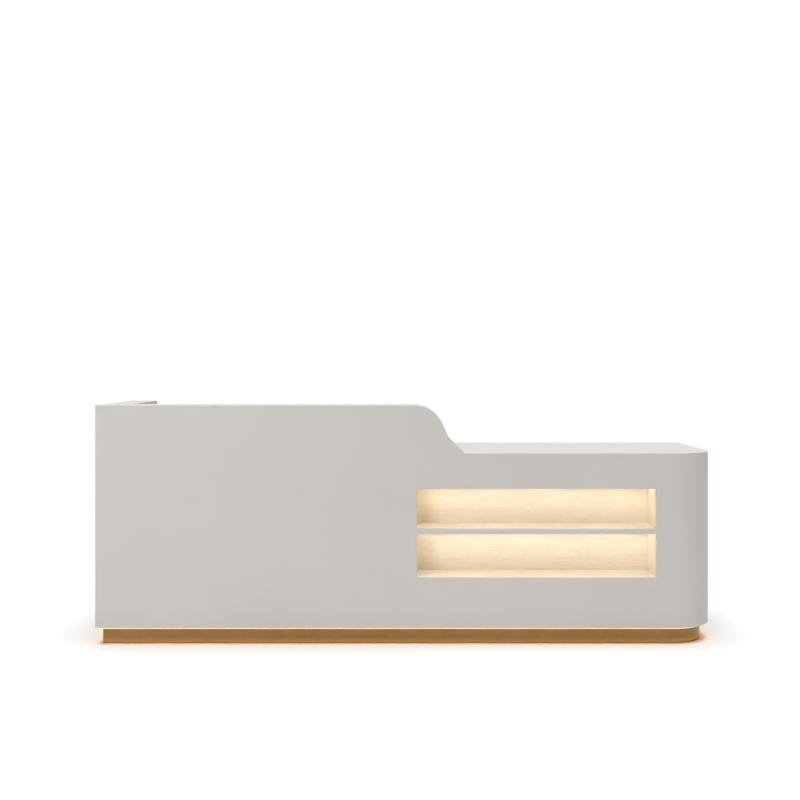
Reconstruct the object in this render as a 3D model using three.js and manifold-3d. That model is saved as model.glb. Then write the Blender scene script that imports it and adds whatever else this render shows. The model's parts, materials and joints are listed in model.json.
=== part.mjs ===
// A checkout counter for a shop: a hollow-walled counter of lacquered board. A high ledge on the
// left hides the till and the screen, and an S-curve brings it down to a low worktop whose front
// right corner is round. The customer's side has a lit display niche and a brass toe-kick. The
// staff side has drawers, a keyboard tray, a cupboard with pivot doors and an open bay.
//
// Millimetres, +Z up. The customer stands at -Y, and +X is the customer's right. The origin is on
// the floor, under the middle of the counter.
import * as THREE from "three";
import { mergeVertices } from "three/addons/utils/BufferGeometryUtils.js";
import Module from "manifold-3d";

// ---- Driving dimensions ----

const length = 2600;
const depth = 650;
const worktopHeight = 800;
const ledgeRise = 200; // how far the ledge stands above the worktop
const ledgeLength = 1332; // from the left end to where the S-curve begins
const wallDepth = 150; // the high front wall, face to face
const returnWidth = 120; // the wall of the left end, face to face
const cornerRadius = 170; // outer face of the round corner

const skin = 18; // lacquered and carcass boards
const thinBoard = 9; // back panels
const worktopThickness = 25;
const glueLine = 0.3; // between boards that are fixed to each other
const past = 1; // how far a cutter runs past the face it opens
const cornerSteps = 32; // straight pieces in each quarter of the plan's round corner
const curveSteps = 24; // straight pieces in each arc of the S-curve

const curve = { topRadius: 130, footRadius: 95, steepRun: 53, steepAngle: 65, footAngle: 43 };

const plinthHeight = 70;
// The toe-kick stands behind the skins' inner faces, so that its light hangs under the base board.
const plinth = { behindFront: 12, behindLeft: 7, behindRight: 17, rearSetback: 30, wall: 18 };
const cladding = { thickness: 2, floorGap: 2 };
const plinthStrip = { width: 12, height: 8, fromCladding: 2, endMargin: 40 };

const niche = { width: 1000, endMargin: 255, belowWorktop: 150, depth: 175, shelf: 22 };
const nicheBays = { upper: 167, lower: 181 };
const ledProfile = { width: 16, height: 7, wall: 1, fromBack: 82, endMargin: 20, diffuser: 1.5 };
const serviceVoid = 41; // between the niche's back and the cupboard's back, for the wiring

const frontsBehindEnd = 2; // drawer fronts and doors stand this far in from the end board's back
const reveal = 3; // the gap round a drawer front or a door
const pedestalWidth = 420;
const cashDrawerHeight = 130;
const drawer = { side: 15, bottom: 9, belowFrontTop: 30, liftBottom: 12, fromWall: 10 };
const drawerGroove = { depth: 8, height: 17 }; // in each side of a drawer, for its runner
const runner = { height: 16, endGap: 52, play: 0.8 };
const notch = { width: 110, depth: 22, radius: 10 }; // finger notch of a drawer front
const lock = { fromRight: 90, belowTop: 20, length: 38, flange: 2 };
const barrel = { radius: 9, flangeRadius: 12 };
const cylinder = { radius: 6, stands: 2.5, keyway: 2, keywayHeight: 8, keywayDepth: 6 };
const cam = { thickness: 2.5, width: 11, length: 31 };

const tray = { sideGap: 104, thickness: 16, hang: 95, fromWall: 115, fromRear: 55, railExtra: 20 };
const trayRail = { thickness: 2, lip: 14, flange: 26, play: 0.7 };

const doorBayWidth = 805;
const doorPull = { height: 120, depth: 25, belowTop: 60 };
const pivot = { plateLength: 46, plateWidth: 14, plate: 3, gap: 1 };
const pivotPin = { radius: 4, length: 10, play: 0.35 };
const shelfHeight = 342; // from the base board up to the top of the cupboard shelves
const shelfSetback = 14;

const grommet = { radius: 30, flange: 35, flangeThickness: 2, wall: 3, height: 24, fromWall: 70 };
const grommetCap = { thickness: 3, play: 0.6, slot: 16 };
const rocker = { height: 26, width: 11, tilt: 9, hub: 3.5, fromRear: 80, belowWorktop: 90 };
const rockerLever = { play: 0.4, tipGap: 1.2, back: 0.5, middle: 2.6 };
const switchBody = { wall: 2, flange: 4, face: 2.5, depth: 30, well: 9 };
const inlet = { width: 27, height: 20, flange: 9, depth: 30, aboveFloor: 190, fromBack: 45 };
const inletFace = { thickness: 3, aboveWell: 3, wall: 2, wellDepth: 16 };
const inletPin = { pitch: 7, width: 2, height: 4, from: 4, low: -2, high: 3 };
const driver = { length: 190, height: 48, thickness: 30, belowWorktop: 60, fromSide: 90 };
const driverEar = { length: 12, height: 24, thickness: 3 };
const driverGroove = { count: 7, first: 14, pitch: 25, width: 12, depth: 2, margin: 6 };
const ledLead = { radius: 1.4, bore: 2, bend: 8, fromDriver: 45 };
const mainsLead = { radius: 2.5, bend: 28, fromBoard: 5, lowRun: 80, highRun: 42, room: 4 };

// ---- Derived places ----

const left = -length / 2;
const right = length / 2;
const front = -depth / 2;
const rear = depth / 2;
const ledgeHeight = worktopHeight + ledgeRise;
const worktopUnder = worktopHeight - worktopThickness;
const baseTop = plinthHeight + skin;
const fits = (lo, hi) => [lo + glueLine, hi - glueLine]; // a board glued between two faces

const wallInner = front + wallDepth; // staff-side face of the high front wall
const returnInner = left + returnWidth; // inner face of the left end's wall
const tangentX = right - cornerRadius; // where the front turns into the round corner
const tangentY = front + cornerRadius;

const nicheRight = right - niche.endMargin;
const nicheLeft = nicheRight - niche.width;
const nicheTop = worktopHeight - niche.belowWorktop;
const upperBayFloor = nicheTop - nicheBays.upper;
const lowerBayTop = upperBayFloor - niche.shelf;
const nicheBottom = lowerBayTop - nicheBays.lower;
const nicheBack = front + niche.depth;

const frontsFace = rear - skin - frontsBehindEnd; // outer face of the drawer fronts and doors
const frontsBack = frontsFace - skin;
const pedestalRight = returnInner + pedestalWidth; // knee-space face of the drawer pedestal
const cupboardLeft = nicheLeft - skin; // knee-space face of the cupboard's side
const cupboardBack = nicheBack + thinBoard + serviceVoid;
const dividerLeft = nicheLeft + doorBayWidth;

const driverX = nicheLeft + driver.fromSide;
const driverZ = worktopUnder - driver.belowWorktop - driver.height / 2;
const driverBack = cupboardBack + thinBoard + glueLine;
const driverY = driverBack + driver.thickness / 2;
const feedX = driverX + driver.length + ledLead.fromDriver; // the LED lead's run behind the niche
const plinthFront = front + skin + plinth.behindFront;
const stripMiddle = plinthFront - plinthStrip.fromCladding - plinthStrip.width / 2;

const radians = THREE.MathUtils.degToRad;

// ---- Finishes ----

const finish = (color, roughness, metalness = 0) =>
  new THREE.MeshStandardMaterial({ color, roughness, metalness });
const lacquer = finish(0xe9e6e2, 0.45);
const maple = finish(0xe8d2ad, 0.55);
const carcassBoard = finish(0xdedad3, 0.6);
const brass = finish(0xa8843f, 0.35, 1);
const aluminium = finish(0xc4c6c8, 0.4, 1);
const steel = finish(0x9fa2a5, 0.35, 1);
const opal = finish(0xfff1d6, 0.5);
const blackPlastic = finish(0x1d1e20, 0.5);
const whitePlastic = finish(0xe6e6e3, 0.45);
const plainBoard = finish(0xb59b78, 0.8);

// ---- Shapes ----

const counter = new THREE.Group();

function assembly(parent, x = 0, y = 0, z = 0) {
  const group = new THREE.Group();
  group.position.set(x, y, z);
  parent.add(group);
  return group;
}

function add(parent, name, geometry, material) {
  const mesh = new THREE.Mesh(geometry, material);
  mesh.name = name;
  parent.add(mesh);
  return mesh;
}

// A box between two corners, given as [low, high] along each axis.
function block([x0, x1], [y0, y1], [z0, z1]) {
  const box = new THREE.BoxGeometry(x1 - x0, y1 - y0, z1 - z0);
  return box.translate((x0 + x1) / 2, (y0 + y1) / 2, (z0 + z1) / 2);
}

function board(parent, name, material, x, y, z) {
  const mesh = add(parent, name, new THREE.BoxGeometry(x[1] - x[0], y[1] - y[0], z[1] - z[0]), material);
  mesh.position.set((x[0] + x[1]) / 2, (y[0] + y[1]) / 2, (z[0] + z[1]) / 2);
  return mesh;
}

// An outline carried along one axis from lo to hi. The outline is read as (x, y) for "z",
// (x, z) for "y" and (y, z) for "x".
function extrude(outline, axis, lo, hi, curveSegments = 12) {
  const geometry = new THREE.ExtrudeGeometry(outline, {
    depth: hi - lo,
    bevelEnabled: false,
    curveSegments,
  });
  if (axis === "z") return geometry.translate(0, 0, lo);
  if (axis === "y") return geometry.rotateX(Math.PI / 2).translate(0, hi, 0);
  const turn = new THREE.Matrix4().makeBasis(
    new THREE.Vector3(0, 1, 0),
    new THREE.Vector3(0, 0, 1),
    new THREE.Vector3(1, 0, 0),
  );
  return geometry.applyMatrix4(turn).translate(lo, 0, 0);
}

// A round bar along one axis, from lo to hi, centred on the other two coordinates.
function bar(axis, radius, lo, hi, a, b, segments = 32) {
  const circle = new THREE.Shape().absarc(a, b, radius, 0, 2 * Math.PI);
  return extrude(circle, axis, lo, hi, segments / 2);
}

const rectangle = (x0, y0, x1, y1) =>
  new THREE.Shape([
    new THREE.Vector2(x0, y0),
    new THREE.Vector2(x1, y0),
    new THREE.Vector2(x1, y1),
    new THREE.Vector2(x0, y1),
  ]);

// ---- Cuts and joins ----

const wasm = await Module();
wasm.setup();

function solid(geometry) {
  const bare = geometry.clone();
  bare.deleteAttribute("normal");
  bare.deleteAttribute("uv");
  const merged = mergeVertices(bare, 1e-4);
  return new wasm.Manifold(
    new wasm.Mesh({
      numProp: 3,
      vertProperties: merged.attributes.position.array,
      triVerts: new Uint32Array(merged.index.array),
    }),
  );
}

function toGeometry(manifold) {
  const mesh = manifold.getMesh();
  const geometry = new THREE.BufferGeometry();
  geometry.setAttribute("position", new THREE.BufferAttribute(mesh.vertProperties, mesh.numProp));
  geometry.setIndex(new THREE.BufferAttribute(mesh.triVerts, 1));
  geometry.computeVertexNormals();
  return geometry;
}

const cut = (geometry, ...cutters) =>
  toGeometry(cutters.reduce((body, cutter) => body.subtract(solid(cutter)), solid(geometry)));

const join = (geometry, ...others) =>
  toGeometry(others.reduce((body, other) => body.add(solid(other)), solid(geometry)));

// ---- The S-curve ----

// Where the ledge comes down: a round shoulder, a steep run, a hollow and a gentler foot that ends
// on the worktop. Points run from the foot up to the level ledge. With an inset they lie that far
// under the face, and end above the same foot.
const curveStart = left + ledgeLength;
const steep = radians(curve.steepAngle);
const gentle = radians(curve.footAngle);
const shoulder = new THREE.Vector2(curveStart, ledgeHeight - curve.topRadius);
const steepTop = new THREE.Vector2(
  shoulder.x + curve.topRadius * Math.sin(steep),
  shoulder.y + curve.topRadius * Math.cos(steep),
);
const hollow = new THREE.Vector2(
  steepTop.x + curve.steepRun * Math.cos(steep) + curve.footRadius * Math.sin(steep),
  steepTop.y - curve.steepRun * Math.sin(steep) + curve.footRadius * Math.cos(steep),
);
const gentleTop = new THREE.Vector2(
  hollow.x - curve.footRadius * Math.sin(gentle),
  hollow.y - curve.footRadius * Math.cos(gentle),
);
const footX = gentleTop.x + (gentleTop.y - worktopHeight) / Math.tan(gentle);

function ledgeCurve(inset = 0) {
  const foot = new THREE.Vector2(footX, worktopHeight - inset / Math.cos(gentle));
  const path = new THREE.Path();
  path.absarc(
    hollow.x,
    hollow.y,
    curve.footRadius + inset,
    1.5 * Math.PI - gentle,
    1.5 * Math.PI - steep,
    true,
  );
  path.absarc(shoulder.x, shoulder.y, curve.topRadius - inset, Math.PI / 2 - steep, Math.PI / 2);
  return [foot, ...path.getPoints(curveSteps)];
}

const corners = (...list) => list.map(([x, y]) => new THREE.Vector2(x, y));

// ---- Plan outlines ----

// The counter's plan between four straight edges, with the front right corner round.
function roundedPlan(shape, plan) {
  shape.moveTo(plan.left, plan.front);
  shape.lineTo(plan.right - plan.radius, plan.front);
  shape.absarc(plan.right - plan.radius, plan.front + plan.radius, plan.radius, -Math.PI / 2, 0);
  shape.lineTo(plan.right, plan.rear);
  return shape;
}

// The same plan with the knee space taken out of its rear edge.
function kneePlan(shape, plan) {
  roundedPlan(shape, plan);
  shape.lineTo(plan.kneeRight, plan.rear);
  shape.lineTo(plan.kneeRight, plan.kneeFront);
  shape.lineTo(plan.kneeLeft, plan.kneeFront);
  shape.lineTo(plan.kneeLeft, plan.rear);
  shape.lineTo(plan.left, plan.rear);
  return shape;
}

const shrink = (plan, by) => ({
  left: plan.left + by,
  right: plan.right - by,
  front: plan.front + by,
  rear: plan.rear - by,
  radius: plan.radius - by,
  kneeLeft: plan.kneeLeft - by,
  kneeRight: plan.kneeRight + by,
  kneeFront: plan.kneeFront - by,
});

// A band that runs down the left side, along the front, round the corner and up the right side.
// Both faces end at the outer plan's rear edge.
function wrapBand(outer, thickness) {
  const inner = shrink(outer, thickness);
  const face = (plan) => {
    const path = roundedPlan(new THREE.Path().moveTo(plan.left, outer.rear), { ...plan, rear: outer.rear });
    return path.getPoints(cornerSteps);
  };
  const outside = corners([outer.left, outer.rear]).concat(face(outer));
  const inside = corners([inner.left, outer.rear]).concat(face(inner));
  return new THREE.Shape(outside.concat(inside.reverse()));
}

// ---- Casing: the lacquered skins ----

function frontSkin(casing) {
  const outline = new THREE.Shape([
    ...corners([left, plinthHeight], [tangentX, plinthHeight], [tangentX, worktopHeight]),
    ...ledgeCurve(),
    ...corners([left, ledgeHeight]),
  ]);
  outline.holes.push(
    rectangle(nicheLeft, nicheBottom, nicheRight, lowerBayTop),
    rectangle(nicheLeft, upperBayFloor, nicheRight, nicheTop),
  );
  add(casing, "front_skin", extrude(outline, "y", front, front + skin), lacquer);
}

function cornerSkin(casing) {
  const turn = glueLine / cornerRadius; // leaves the glue line at both ends of the bend
  const outline = new THREE.Shape();
  outline.absarc(tangentX, tangentY, cornerRadius, -Math.PI / 2 + turn, -turn);
  outline.absarc(tangentX, tangentY, cornerRadius - skin, -turn, -Math.PI / 2 + turn, true);
  add(casing, "corner_skin", extrude(outline, "z", plinthHeight, worktopHeight, cornerSteps), lacquer);
}

function wallInnerSkin(casing) {
  const start = left + skin + glueLine;
  const lowEnd = cupboardLeft - glueLine;
  const outline = new THREE.Shape([
    ...corners([start, baseTop + glueLine], [lowEnd, baseTop + glueLine]),
    ...corners([lowEnd, worktopUnder - glueLine], [footX, worktopUnder - glueLine]),
    ...ledgeCurve(),
    ...corners([start, ledgeHeight]),
  ]);
  add(casing, "wall_inner_skin", extrude(outline, "y", wallInner - skin, wallInner), lacquer);
}

function frontLedgeCap(casing) {
  const start = left + skin + glueLine;
  const outline = new THREE.Shape([
    ...ledgeCurve(),
    ...corners([start, ledgeHeight], [start, ledgeHeight - skin]),
    ...ledgeCurve(skin).reverse(),
  ]);
  const [y0, y1] = fits(front + skin, wallInner - skin);
  add(casing, "front_ledge_cap", extrude(outline, "y", y0, y1), lacquer);
}

function worktop(casing) {
  const plan = {
    left: footX + glueLine,
    right: right - skin - glueLine,
    front: front + skin + glueLine,
    rear,
    radius: cornerRadius - skin - glueLine,
  };
  const start = returnInner + glueLine;
  const outline = roundedPlan(new THREE.Shape(), plan);
  outline.lineTo(start, rear);
  outline.lineTo(start, wallInner + glueLine);
  outline.lineTo(plan.left, wallInner + glueLine);
  const cableHole = new THREE.Path().absarc(
    grommetX,
    grommetY,
    grommet.radius + glueLine,
    0,
    2 * Math.PI,
  );
  outline.holes.push(cableHole);
  const slab = extrude(outline, "z", worktopUnder, worktopHeight, cornerSteps);
  const seat = bar(
    "z",
    grommet.flange + glueLine,
    worktopHeight - grommet.flangeThickness - glueLine,
    worktopHeight + past,
    grommetX,
    grommetY,
  );
  // The slot that the lock's cam turns up into. It is as wide as the cam's whole swing.
  const strike = block(
    [lockX - cam.length - reveal, lockX + cam.width],
    [camBack - cam.thickness, camBack + 2 * cam.thickness],
    [worktopUnder - past, lockZ + cam.length + reveal],
  );
  add(casing, "worktop", cut(slab, seat, strike), lacquer);
}

function casingPieces() {
  const casing = assembly(counter);
  const returnOuter = left + skin;
  frontSkin(casing);
  cornerSkin(casing);
  const sideY = [tangentY + glueLine, rear];
  board(casing, "right_side_skin", lacquer, [right - skin, right], sideY, [plinthHeight, worktopHeight]);
  const leftY = [front + skin + glueLine, rear];
  board(casing, "left_side_skin", lacquer, [left, returnOuter], leftY, [plinthHeight, ledgeHeight]);
  wallInnerSkin(casing);
  const returnY = fits(wallInner, rear - skin);
  const innerX = [returnInner - skin, returnInner];
  board(casing, "left_inner_skin", lacquer, innerX, returnY, [baseTop + glueLine, ledgeHeight]);
  const endX = [returnOuter + glueLine, returnInner];
  board(casing, "left_end_board", lacquer, endX, [rear - skin, rear], [plinthHeight, ledgeHeight]);
  frontLedgeCap(casing);
  const capX = fits(returnOuter, returnInner - skin);
  board(casing, "left_ledge_cap", lacquer, capX, returnY, [ledgeHeight - skin, ledgeHeight]);
  worktop(casing);
}

// ---- Carcass: what the skins and the worktop are fixed to ----

const basePlan = {
  left: left + skin + glueLine,
  right: right - skin - glueLine,
  front: front + skin + glueLine,
  rear: frontsFace,
  radius: cornerRadius - skin - glueLine,
  kneeLeft: pedestalRight,
  kneeRight: cupboardLeft,
  kneeFront: wallInner,
};

function carcass() {
  const frame = assembly(counter);
  const outline = kneePlan(new THREE.Shape(), basePlan);
  const leadHole = new THREE.Path().absarc(feedX, stripMiddle, ledLead.bore, 0, 2 * Math.PI);
  outline.holes.push(leadHole);
  const slab = extrude(outline, "z", plinthHeight, baseTop, cornerSteps);
  add(frame, "base_board", slab, carcassBoard);
  const upright = fits(baseTop, worktopUnder);
  const pedestalY = [wallInner + glueLine, frontsFace];
  board(frame, "pedestal_side", carcassBoard, [pedestalRight - skin, pedestalRight], pedestalY, upright);
}

// ---- Toe-kick ----

const plinthPlan = {
  left: left + skin + plinth.behindLeft,
  right: right - skin - plinth.behindRight,
  front: plinthFront,
  rear: frontsFace - plinth.rearSetback,
  radius: cornerRadius - skin - plinth.behindFront,
  kneeLeft: pedestalRight - plinth.rearSetback,
  kneeRight: cupboardLeft + plinth.rearSetback,
  kneeFront: wallInner - plinth.rearSetback,
};

function toeKick() {
  const kick = assembly(counter);
  const behind = cladding.thickness + glueLine;
  const framePlan = {
    ...shrink(plinthPlan, behind),
    rear: plinthPlan.rear,
    kneeLeft: plinthPlan.kneeLeft,
    kneeRight: plinthPlan.kneeRight,
    kneeFront: plinthPlan.kneeFront,
  };
  const ring = kneePlan(new THREE.Shape(), framePlan);
  ring.holes.push(kneePlan(new THREE.Path(), shrink(framePlan, plinth.wall)));
  const top = plinthHeight - glueLine;
  add(kick, "plinth_frame", extrude(ring, "z", 0, top, cornerSteps / 2), plainBoard);

  const sheet = wrapBand(plinthPlan, cladding.thickness);
  add(kick, "plinth_cladding", extrude(sheet, "z", cladding.floorGap, top), brass);

  const stripPlan = shrink(plinthPlan, -(plinthStrip.width + plinthStrip.fromCladding));
  stripPlan.rear = plinthPlan.rear - plinthStrip.endMargin;
  const strip = wrapBand(stripPlan, plinthStrip.width);
  add(kick, "plinth_light_strip", extrude(strip, "z", top - plinthStrip.height, top), opal);
}

// ---- Display niche ----

// A light recessed in the underside of a board: the groove, the aluminium profile and the
// diffuser that closes it. The outlines are read as (y, z), with the board's underside at z = 0.
const profileY = nicheBack - ledProfile.fromBack;
const profileHalf = ledProfile.width / 2;

const profileEnds = [nicheLeft + ledProfile.endMargin, nicheRight - ledProfile.endMargin];
const feedRise = (ledProfile.diffuser + ledProfile.height - ledProfile.wall) / 2;

// The hole that a light's lead comes through, from behind the niche into the profile's rear wall.
function feedHole(under, rearFace) {
  const inside = profileY + profileHalf - ledProfile.wall - past;
  return bar("y", ledLead.bore, inside, rearFace + past, feedX, under + feedRise, 20);
}

function grooved(parent, name, x, y, z) {
  const half = profileHalf + glueLine;
  const groove = block(
    [profileEnds[0] - glueLine, profileEnds[1] + glueLine],
    [profileY - half, profileY + half],
    [z[0] - past, z[0] + ledProfile.height + glueLine],
  );
  add(parent, name, cut(block(x, y, z), groove, feedHole(z[0], y[1])), maple);
}

function light(parent, bay, under) {
  const unit = assembly(parent, 0, profileY, under);
  const inside = profileHalf - ledProfile.wall;
  const roof = ledProfile.height - ledProfile.wall;
  const channel = new THREE.Shape(
    corners(
      [-profileHalf, 0],
      [-inside, 0],
      [-inside, roof],
      [inside, roof],
      [inside, 0],
      [profileHalf, 0],
      [profileHalf, ledProfile.height],
      [-profileHalf, ledProfile.height],
    ),
  );
  const feed = feedHole(0, profileY + profileHalf).translate(0, -profileY, 0);
  add(unit, `led_profile_${bay}`, cut(extrude(channel, "x", ...profileEnds), feed), aluminium);
  const cover = fits(-inside, inside);
  board(unit, `led_diffuser_${bay}`, opal, profileEnds, cover, [0, ledProfile.diffuser]);
}

function displayNiche() {
  const box = assembly(counter);
  const y = [front + skin + glueLine, nicheBack + thinBoard];
  const beside = nicheLeft + glueLine;
  const between = fits(nicheLeft, nicheRight);
  const sideZ = [nicheBottom - skin, nicheTop - glueLine];
  const floorY = [y[0], nicheBack - glueLine];
  board(box, "niche_floor", maple, between, floorY, [nicheBottom - skin, nicheBottom]);
  grooved(box, "niche_ceiling", [beside, nicheRight + skin], y, [nicheTop, nicheTop + skin]);
  board(box, "niche_right_side", maple, [nicheRight, nicheRight + skin], y, sideZ);
  const back = block(between, [nicheBack, nicheBack + thinBoard], sideZ);
  add(box, "niche_back", cut(back, feedHole(lowerBayTop, nicheBack + thinBoard)), maple);
  grooved(box, "niche_shelf", between, floorY, [lowerBayTop, upperBayFloor]);
  light(box, "upper", nicheTop);
  light(box, "lower", lowerBayTop);
}

// ---- Drawers ----

const drawerX = fits(returnInner, pedestalRight - skin).map((x, i) => x + (i ? -1 : 1) * reveal);
const lockX = drawerX[1] - lock.fromRight;
const lockZ = worktopUnder - reveal - lock.belowTop;
const camBack = frontsFace - lock.length; // rear face of the cam

// A drawer front's outline, with a finger notch in the middle of its top edge.
function drawerFrontOutline(height) {
  const [x0, x1] = drawerX;
  const middle = (x0 + x1) / 2;
  const half = notch.width / 2;
  const r = notch.radius;
  const floor = height - notch.depth;
  const outline = new THREE.Shape();
  outline.moveTo(x0, 0);
  outline.lineTo(x1, 0);
  outline.lineTo(x1, height);
  outline.lineTo(middle + half, height);
  outline.absarc(middle + half - r, floor + r, r, 0, -Math.PI / 2, true);
  outline.absarc(middle - half + r, floor + r, r, -Math.PI / 2, -Math.PI, true);
  outline.lineTo(middle - half, height);
  outline.lineTo(x0, height);
  return outline;
}

function drawerPieces(name, bottom, top) {
  const unit = assembly(counter, 0, 0, bottom);
  const height = top - bottom;
  const outline = drawerFrontOutline(height);
  if (name === "cash_drawer") {
    const room = barrel.radius + glueLine;
    const bore = new THREE.Path().absarc(lockX, lockZ - bottom, room, 0, 2 * Math.PI);
    outline.holes.push(bore);
  }
  add(unit, `${name}_front`, extrude(outline, "y", frontsBack, frontsFace), lacquer);

  const boxY = [wallInner + drawer.fromWall, frontsBack - glueLine];
  const runnerLength = boxY[1] - boxY[0] - runner.endGap;
  const boxZ = [drawer.liftBottom, height - drawer.belowFrontTop];
  const cavity = block(
    [drawerX[0] + drawer.side, drawerX[1] - drawer.side],
    [boxY[0] + drawer.side, boxY[1] + past],
    [boxZ[0] + drawer.bottom, boxZ[1] + past],
  );
  const runnerMiddle = (boxZ[0] + boxZ[1]) / 2;
  const grooveHalf = drawerGroove.height / 2;
  const grooveZ = [runnerMiddle - grooveHalf, runnerMiddle + grooveHalf];
  const runnerZ = [runnerMiddle - runner.height / 2, runnerMiddle + runner.height / 2];
  const grooveY = [boxY[0] - past, boxY[0] + runnerLength + runner.play];
  const leftGroove = block([drawerX[0] - past, drawerX[0] + drawerGroove.depth], grooveY, grooveZ);
  const rightGroove = block([drawerX[1] - drawerGroove.depth, drawerX[1] + past], grooveY, grooveZ);
  add(unit, `${name}_box`, cut(block(drawerX, boxY, boxZ), cavity, leftGroove, rightGroove), maple);

  const runnerY = [boxY[0], boxY[0] + runnerLength];
  const leftX = [returnInner + glueLine, drawerX[0] + drawerGroove.depth - runner.play];
  const rightX = [drawerX[1] - drawerGroove.depth + runner.play, pedestalRight - skin - glueLine];
  board(unit, `${name}_runner_left`, steel, leftX, runnerY, runnerZ);
  board(unit, `${name}_runner_right`, steel, rightX, runnerY, runnerZ);
}

function drawers() {
  const top = worktopUnder - reveal;
  const bottom = baseTop + reveal;
  const cashBottom = top - cashDrawerHeight;
  const deepHeight = (cashBottom - bottom - 2 * reveal) / 2;
  drawerPieces("cash_drawer", cashBottom, top);
  drawerPieces("middle_drawer", bottom + deepHeight + reveal, cashBottom - reveal);
  drawerPieces("bottom_drawer", bottom, bottom + deepHeight);
}

// The cash drawer's lock: a barrel pressed into the front, and a cylinder that a key turns. Its cam
// lies level when the drawer is free, and turns up into a slot under the worktop to lock it.
function drawerLock() {
  const unit = assembly(counter, lockX, frontsFace, lockZ);
  const back = -lock.length;
  const sleeve = join(
    bar("y", barrel.radius, back + 2 * cam.thickness, glueLine + lock.flange / 2, 0, 0),
    bar("y", barrel.flangeRadius, glueLine, lock.flange, 0, 0),
  );
  const bore = bar("y", cylinder.radius + glueLine, back, lock.flange + past, 0, 0);
  add(unit, "lock_barrel", cut(sleeve, bore), steel);

  const keyway = block(
    [-cylinder.keyway / 2, cylinder.keyway / 2],
    [-cylinder.keywayDepth, cylinder.stands + past],
    [-cylinder.keywayHeight / 2, cylinder.keywayHeight / 2],
  );
  const rod = cut(bar("y", cylinder.radius, back, cylinder.stands, 0, 0), keyway);
  const half = cam.width / 2;
  const arm = new THREE.Shape();
  arm.absarc(0, 0, half, -Math.PI / 2, Math.PI / 2);
  arm.absarc(-cam.length + half, 0, half, Math.PI / 2, 1.5 * Math.PI);
  const plate = extrude(arm, "y", back, back + cam.thickness);
  add(unit, "lock_cylinder", join(rod, plate), steel);
}

// ---- Keyboard tray ----

function keyboardTray() {
  const x = [pedestalRight + tray.sideGap, cupboardLeft - tray.sideGap];
  const y = [wallInner + tray.fromWall, rear - tray.fromRear];
  const top = worktopUnder - tray.hang;
  const trayZ = [top - tray.thickness, top];
  const unit = assembly(counter);
  board(unit, "keyboard_tray", lacquer, x, y, trayZ);

  // One rail, read as (x, z) from the tray's edge: a flange under the worktop, a web, and a
  // channel that the edge runs in.
  const t = trayRail.thickness;
  const play = trayRail.play;
  const web = play + t;
  const low = trayZ[0] - play;
  const high = trayZ[1] + play;
  const section = [
    [-trayRail.lip, low - t],
    [web, low - t],
    [web, worktopUnder - glueLine],
    [web - trayRail.flange, worktopUnder - glueLine],
    [web - trayRail.flange, worktopUnder - glueLine - t],
    [play, worktopUnder - glueLine - t],
    [play, high + t],
    [-trayRail.lip, high + t],
    [-trayRail.lip, high],
    [play, high],
    [play, low],
    [-trayRail.lip, low],
  ];
  const railY = [y[0], y[1] + tray.railExtra];
  const rightRail = new THREE.Shape(corners(...section.map(([u, z]) => [x[1] + u, z])));
  const leftRail = new THREE.Shape(corners(...section.map(([u, z]) => [x[0] - u, z])));
  add(unit, "tray_rail_right", extrude(rightRail, "y", ...railY), steel);
  add(unit, "tray_rail_left", extrude(leftRail, "y", ...railY), steel);
}

// ---- Cupboard and open bay ----

// A pivot door, built from its pin: the hinge edge is round about the pin, so that it turns
// between two boards. Side is 1 where the door runs towards +X, and -1 towards -X.
function pivotDoor(name, side, pinX, width) {
  const unit = assembly(counter, pinX, frontsBack + skin / 2, 0);
  const half = skin / 2;
  const plates = glueLine + pivot.plate + pivot.gap;
  const z = [baseTop + plates, worktopUnder - plates];
  const outline = new THREE.Shape();
  outline.moveTo(side * width, -half);
  outline.lineTo(side * width, half);
  outline.lineTo(0, half);
  outline.absarc(0, 0, half, Math.PI / 2, side > 0 ? 1.5 * Math.PI : -Math.PI / 2, side < 0);
  const leaf = extrude(outline, "z", ...z);

  const pocket = pivotPin.radius + pivotPin.play;
  const reach = pivotPin.length + pivot.gap;
  const upperBore = bar("z", pocket, z[1] - reach, z[1] + past, 0, 0, 24);
  const lowerBore = bar("z", pocket, z[0] - past, z[0] + reach, 0, 0, 24);
  const pullTop = z[1] - doorPull.belowTop;
  const r = doorPull.depth;
  const pull = new THREE.Shape();
  pull.absarc(side * width, pullTop - r, r, 0, Math.PI);
  pull.absarc(side * width, pullTop - doorPull.height + r, r, Math.PI, 2 * Math.PI);
  add(unit, name, cut(leaf, upperBore, lowerBore, extrude(pull, "y", -skin, skin)), lacquer);

  const plateX = side > 0 ? [-half, pivot.plateLength - half] : [half - pivot.plateLength, half];
  const plateY = [-pivot.plateWidth / 2, pivot.plateWidth / 2];
  const overlap = pivot.plate / 2;
  const topPlate = [worktopUnder - glueLine - pivot.plate, worktopUnder - glueLine];
  const topPinZ = [topPlate[0] - pivotPin.length, topPlate[0] + overlap];
  const topPin = bar("z", pivotPin.radius, ...topPinZ, 0, 0, 24);
  add(unit, `${name}_pivot_top`, join(block(plateX, plateY, topPlate), topPin), steel);
  const lowPlate = [baseTop + glueLine, baseTop + glueLine + pivot.plate];
  const lowPinZ = [lowPlate[1] - overlap, lowPlate[1] + pivotPin.length];
  const lowPin = bar("z", pivotPin.radius, ...lowPinZ, 0, 0, 24);
  add(unit, `${name}_pivot_bottom`, join(block(plateX, plateY, lowPlate), lowPin), steel);
}

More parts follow.
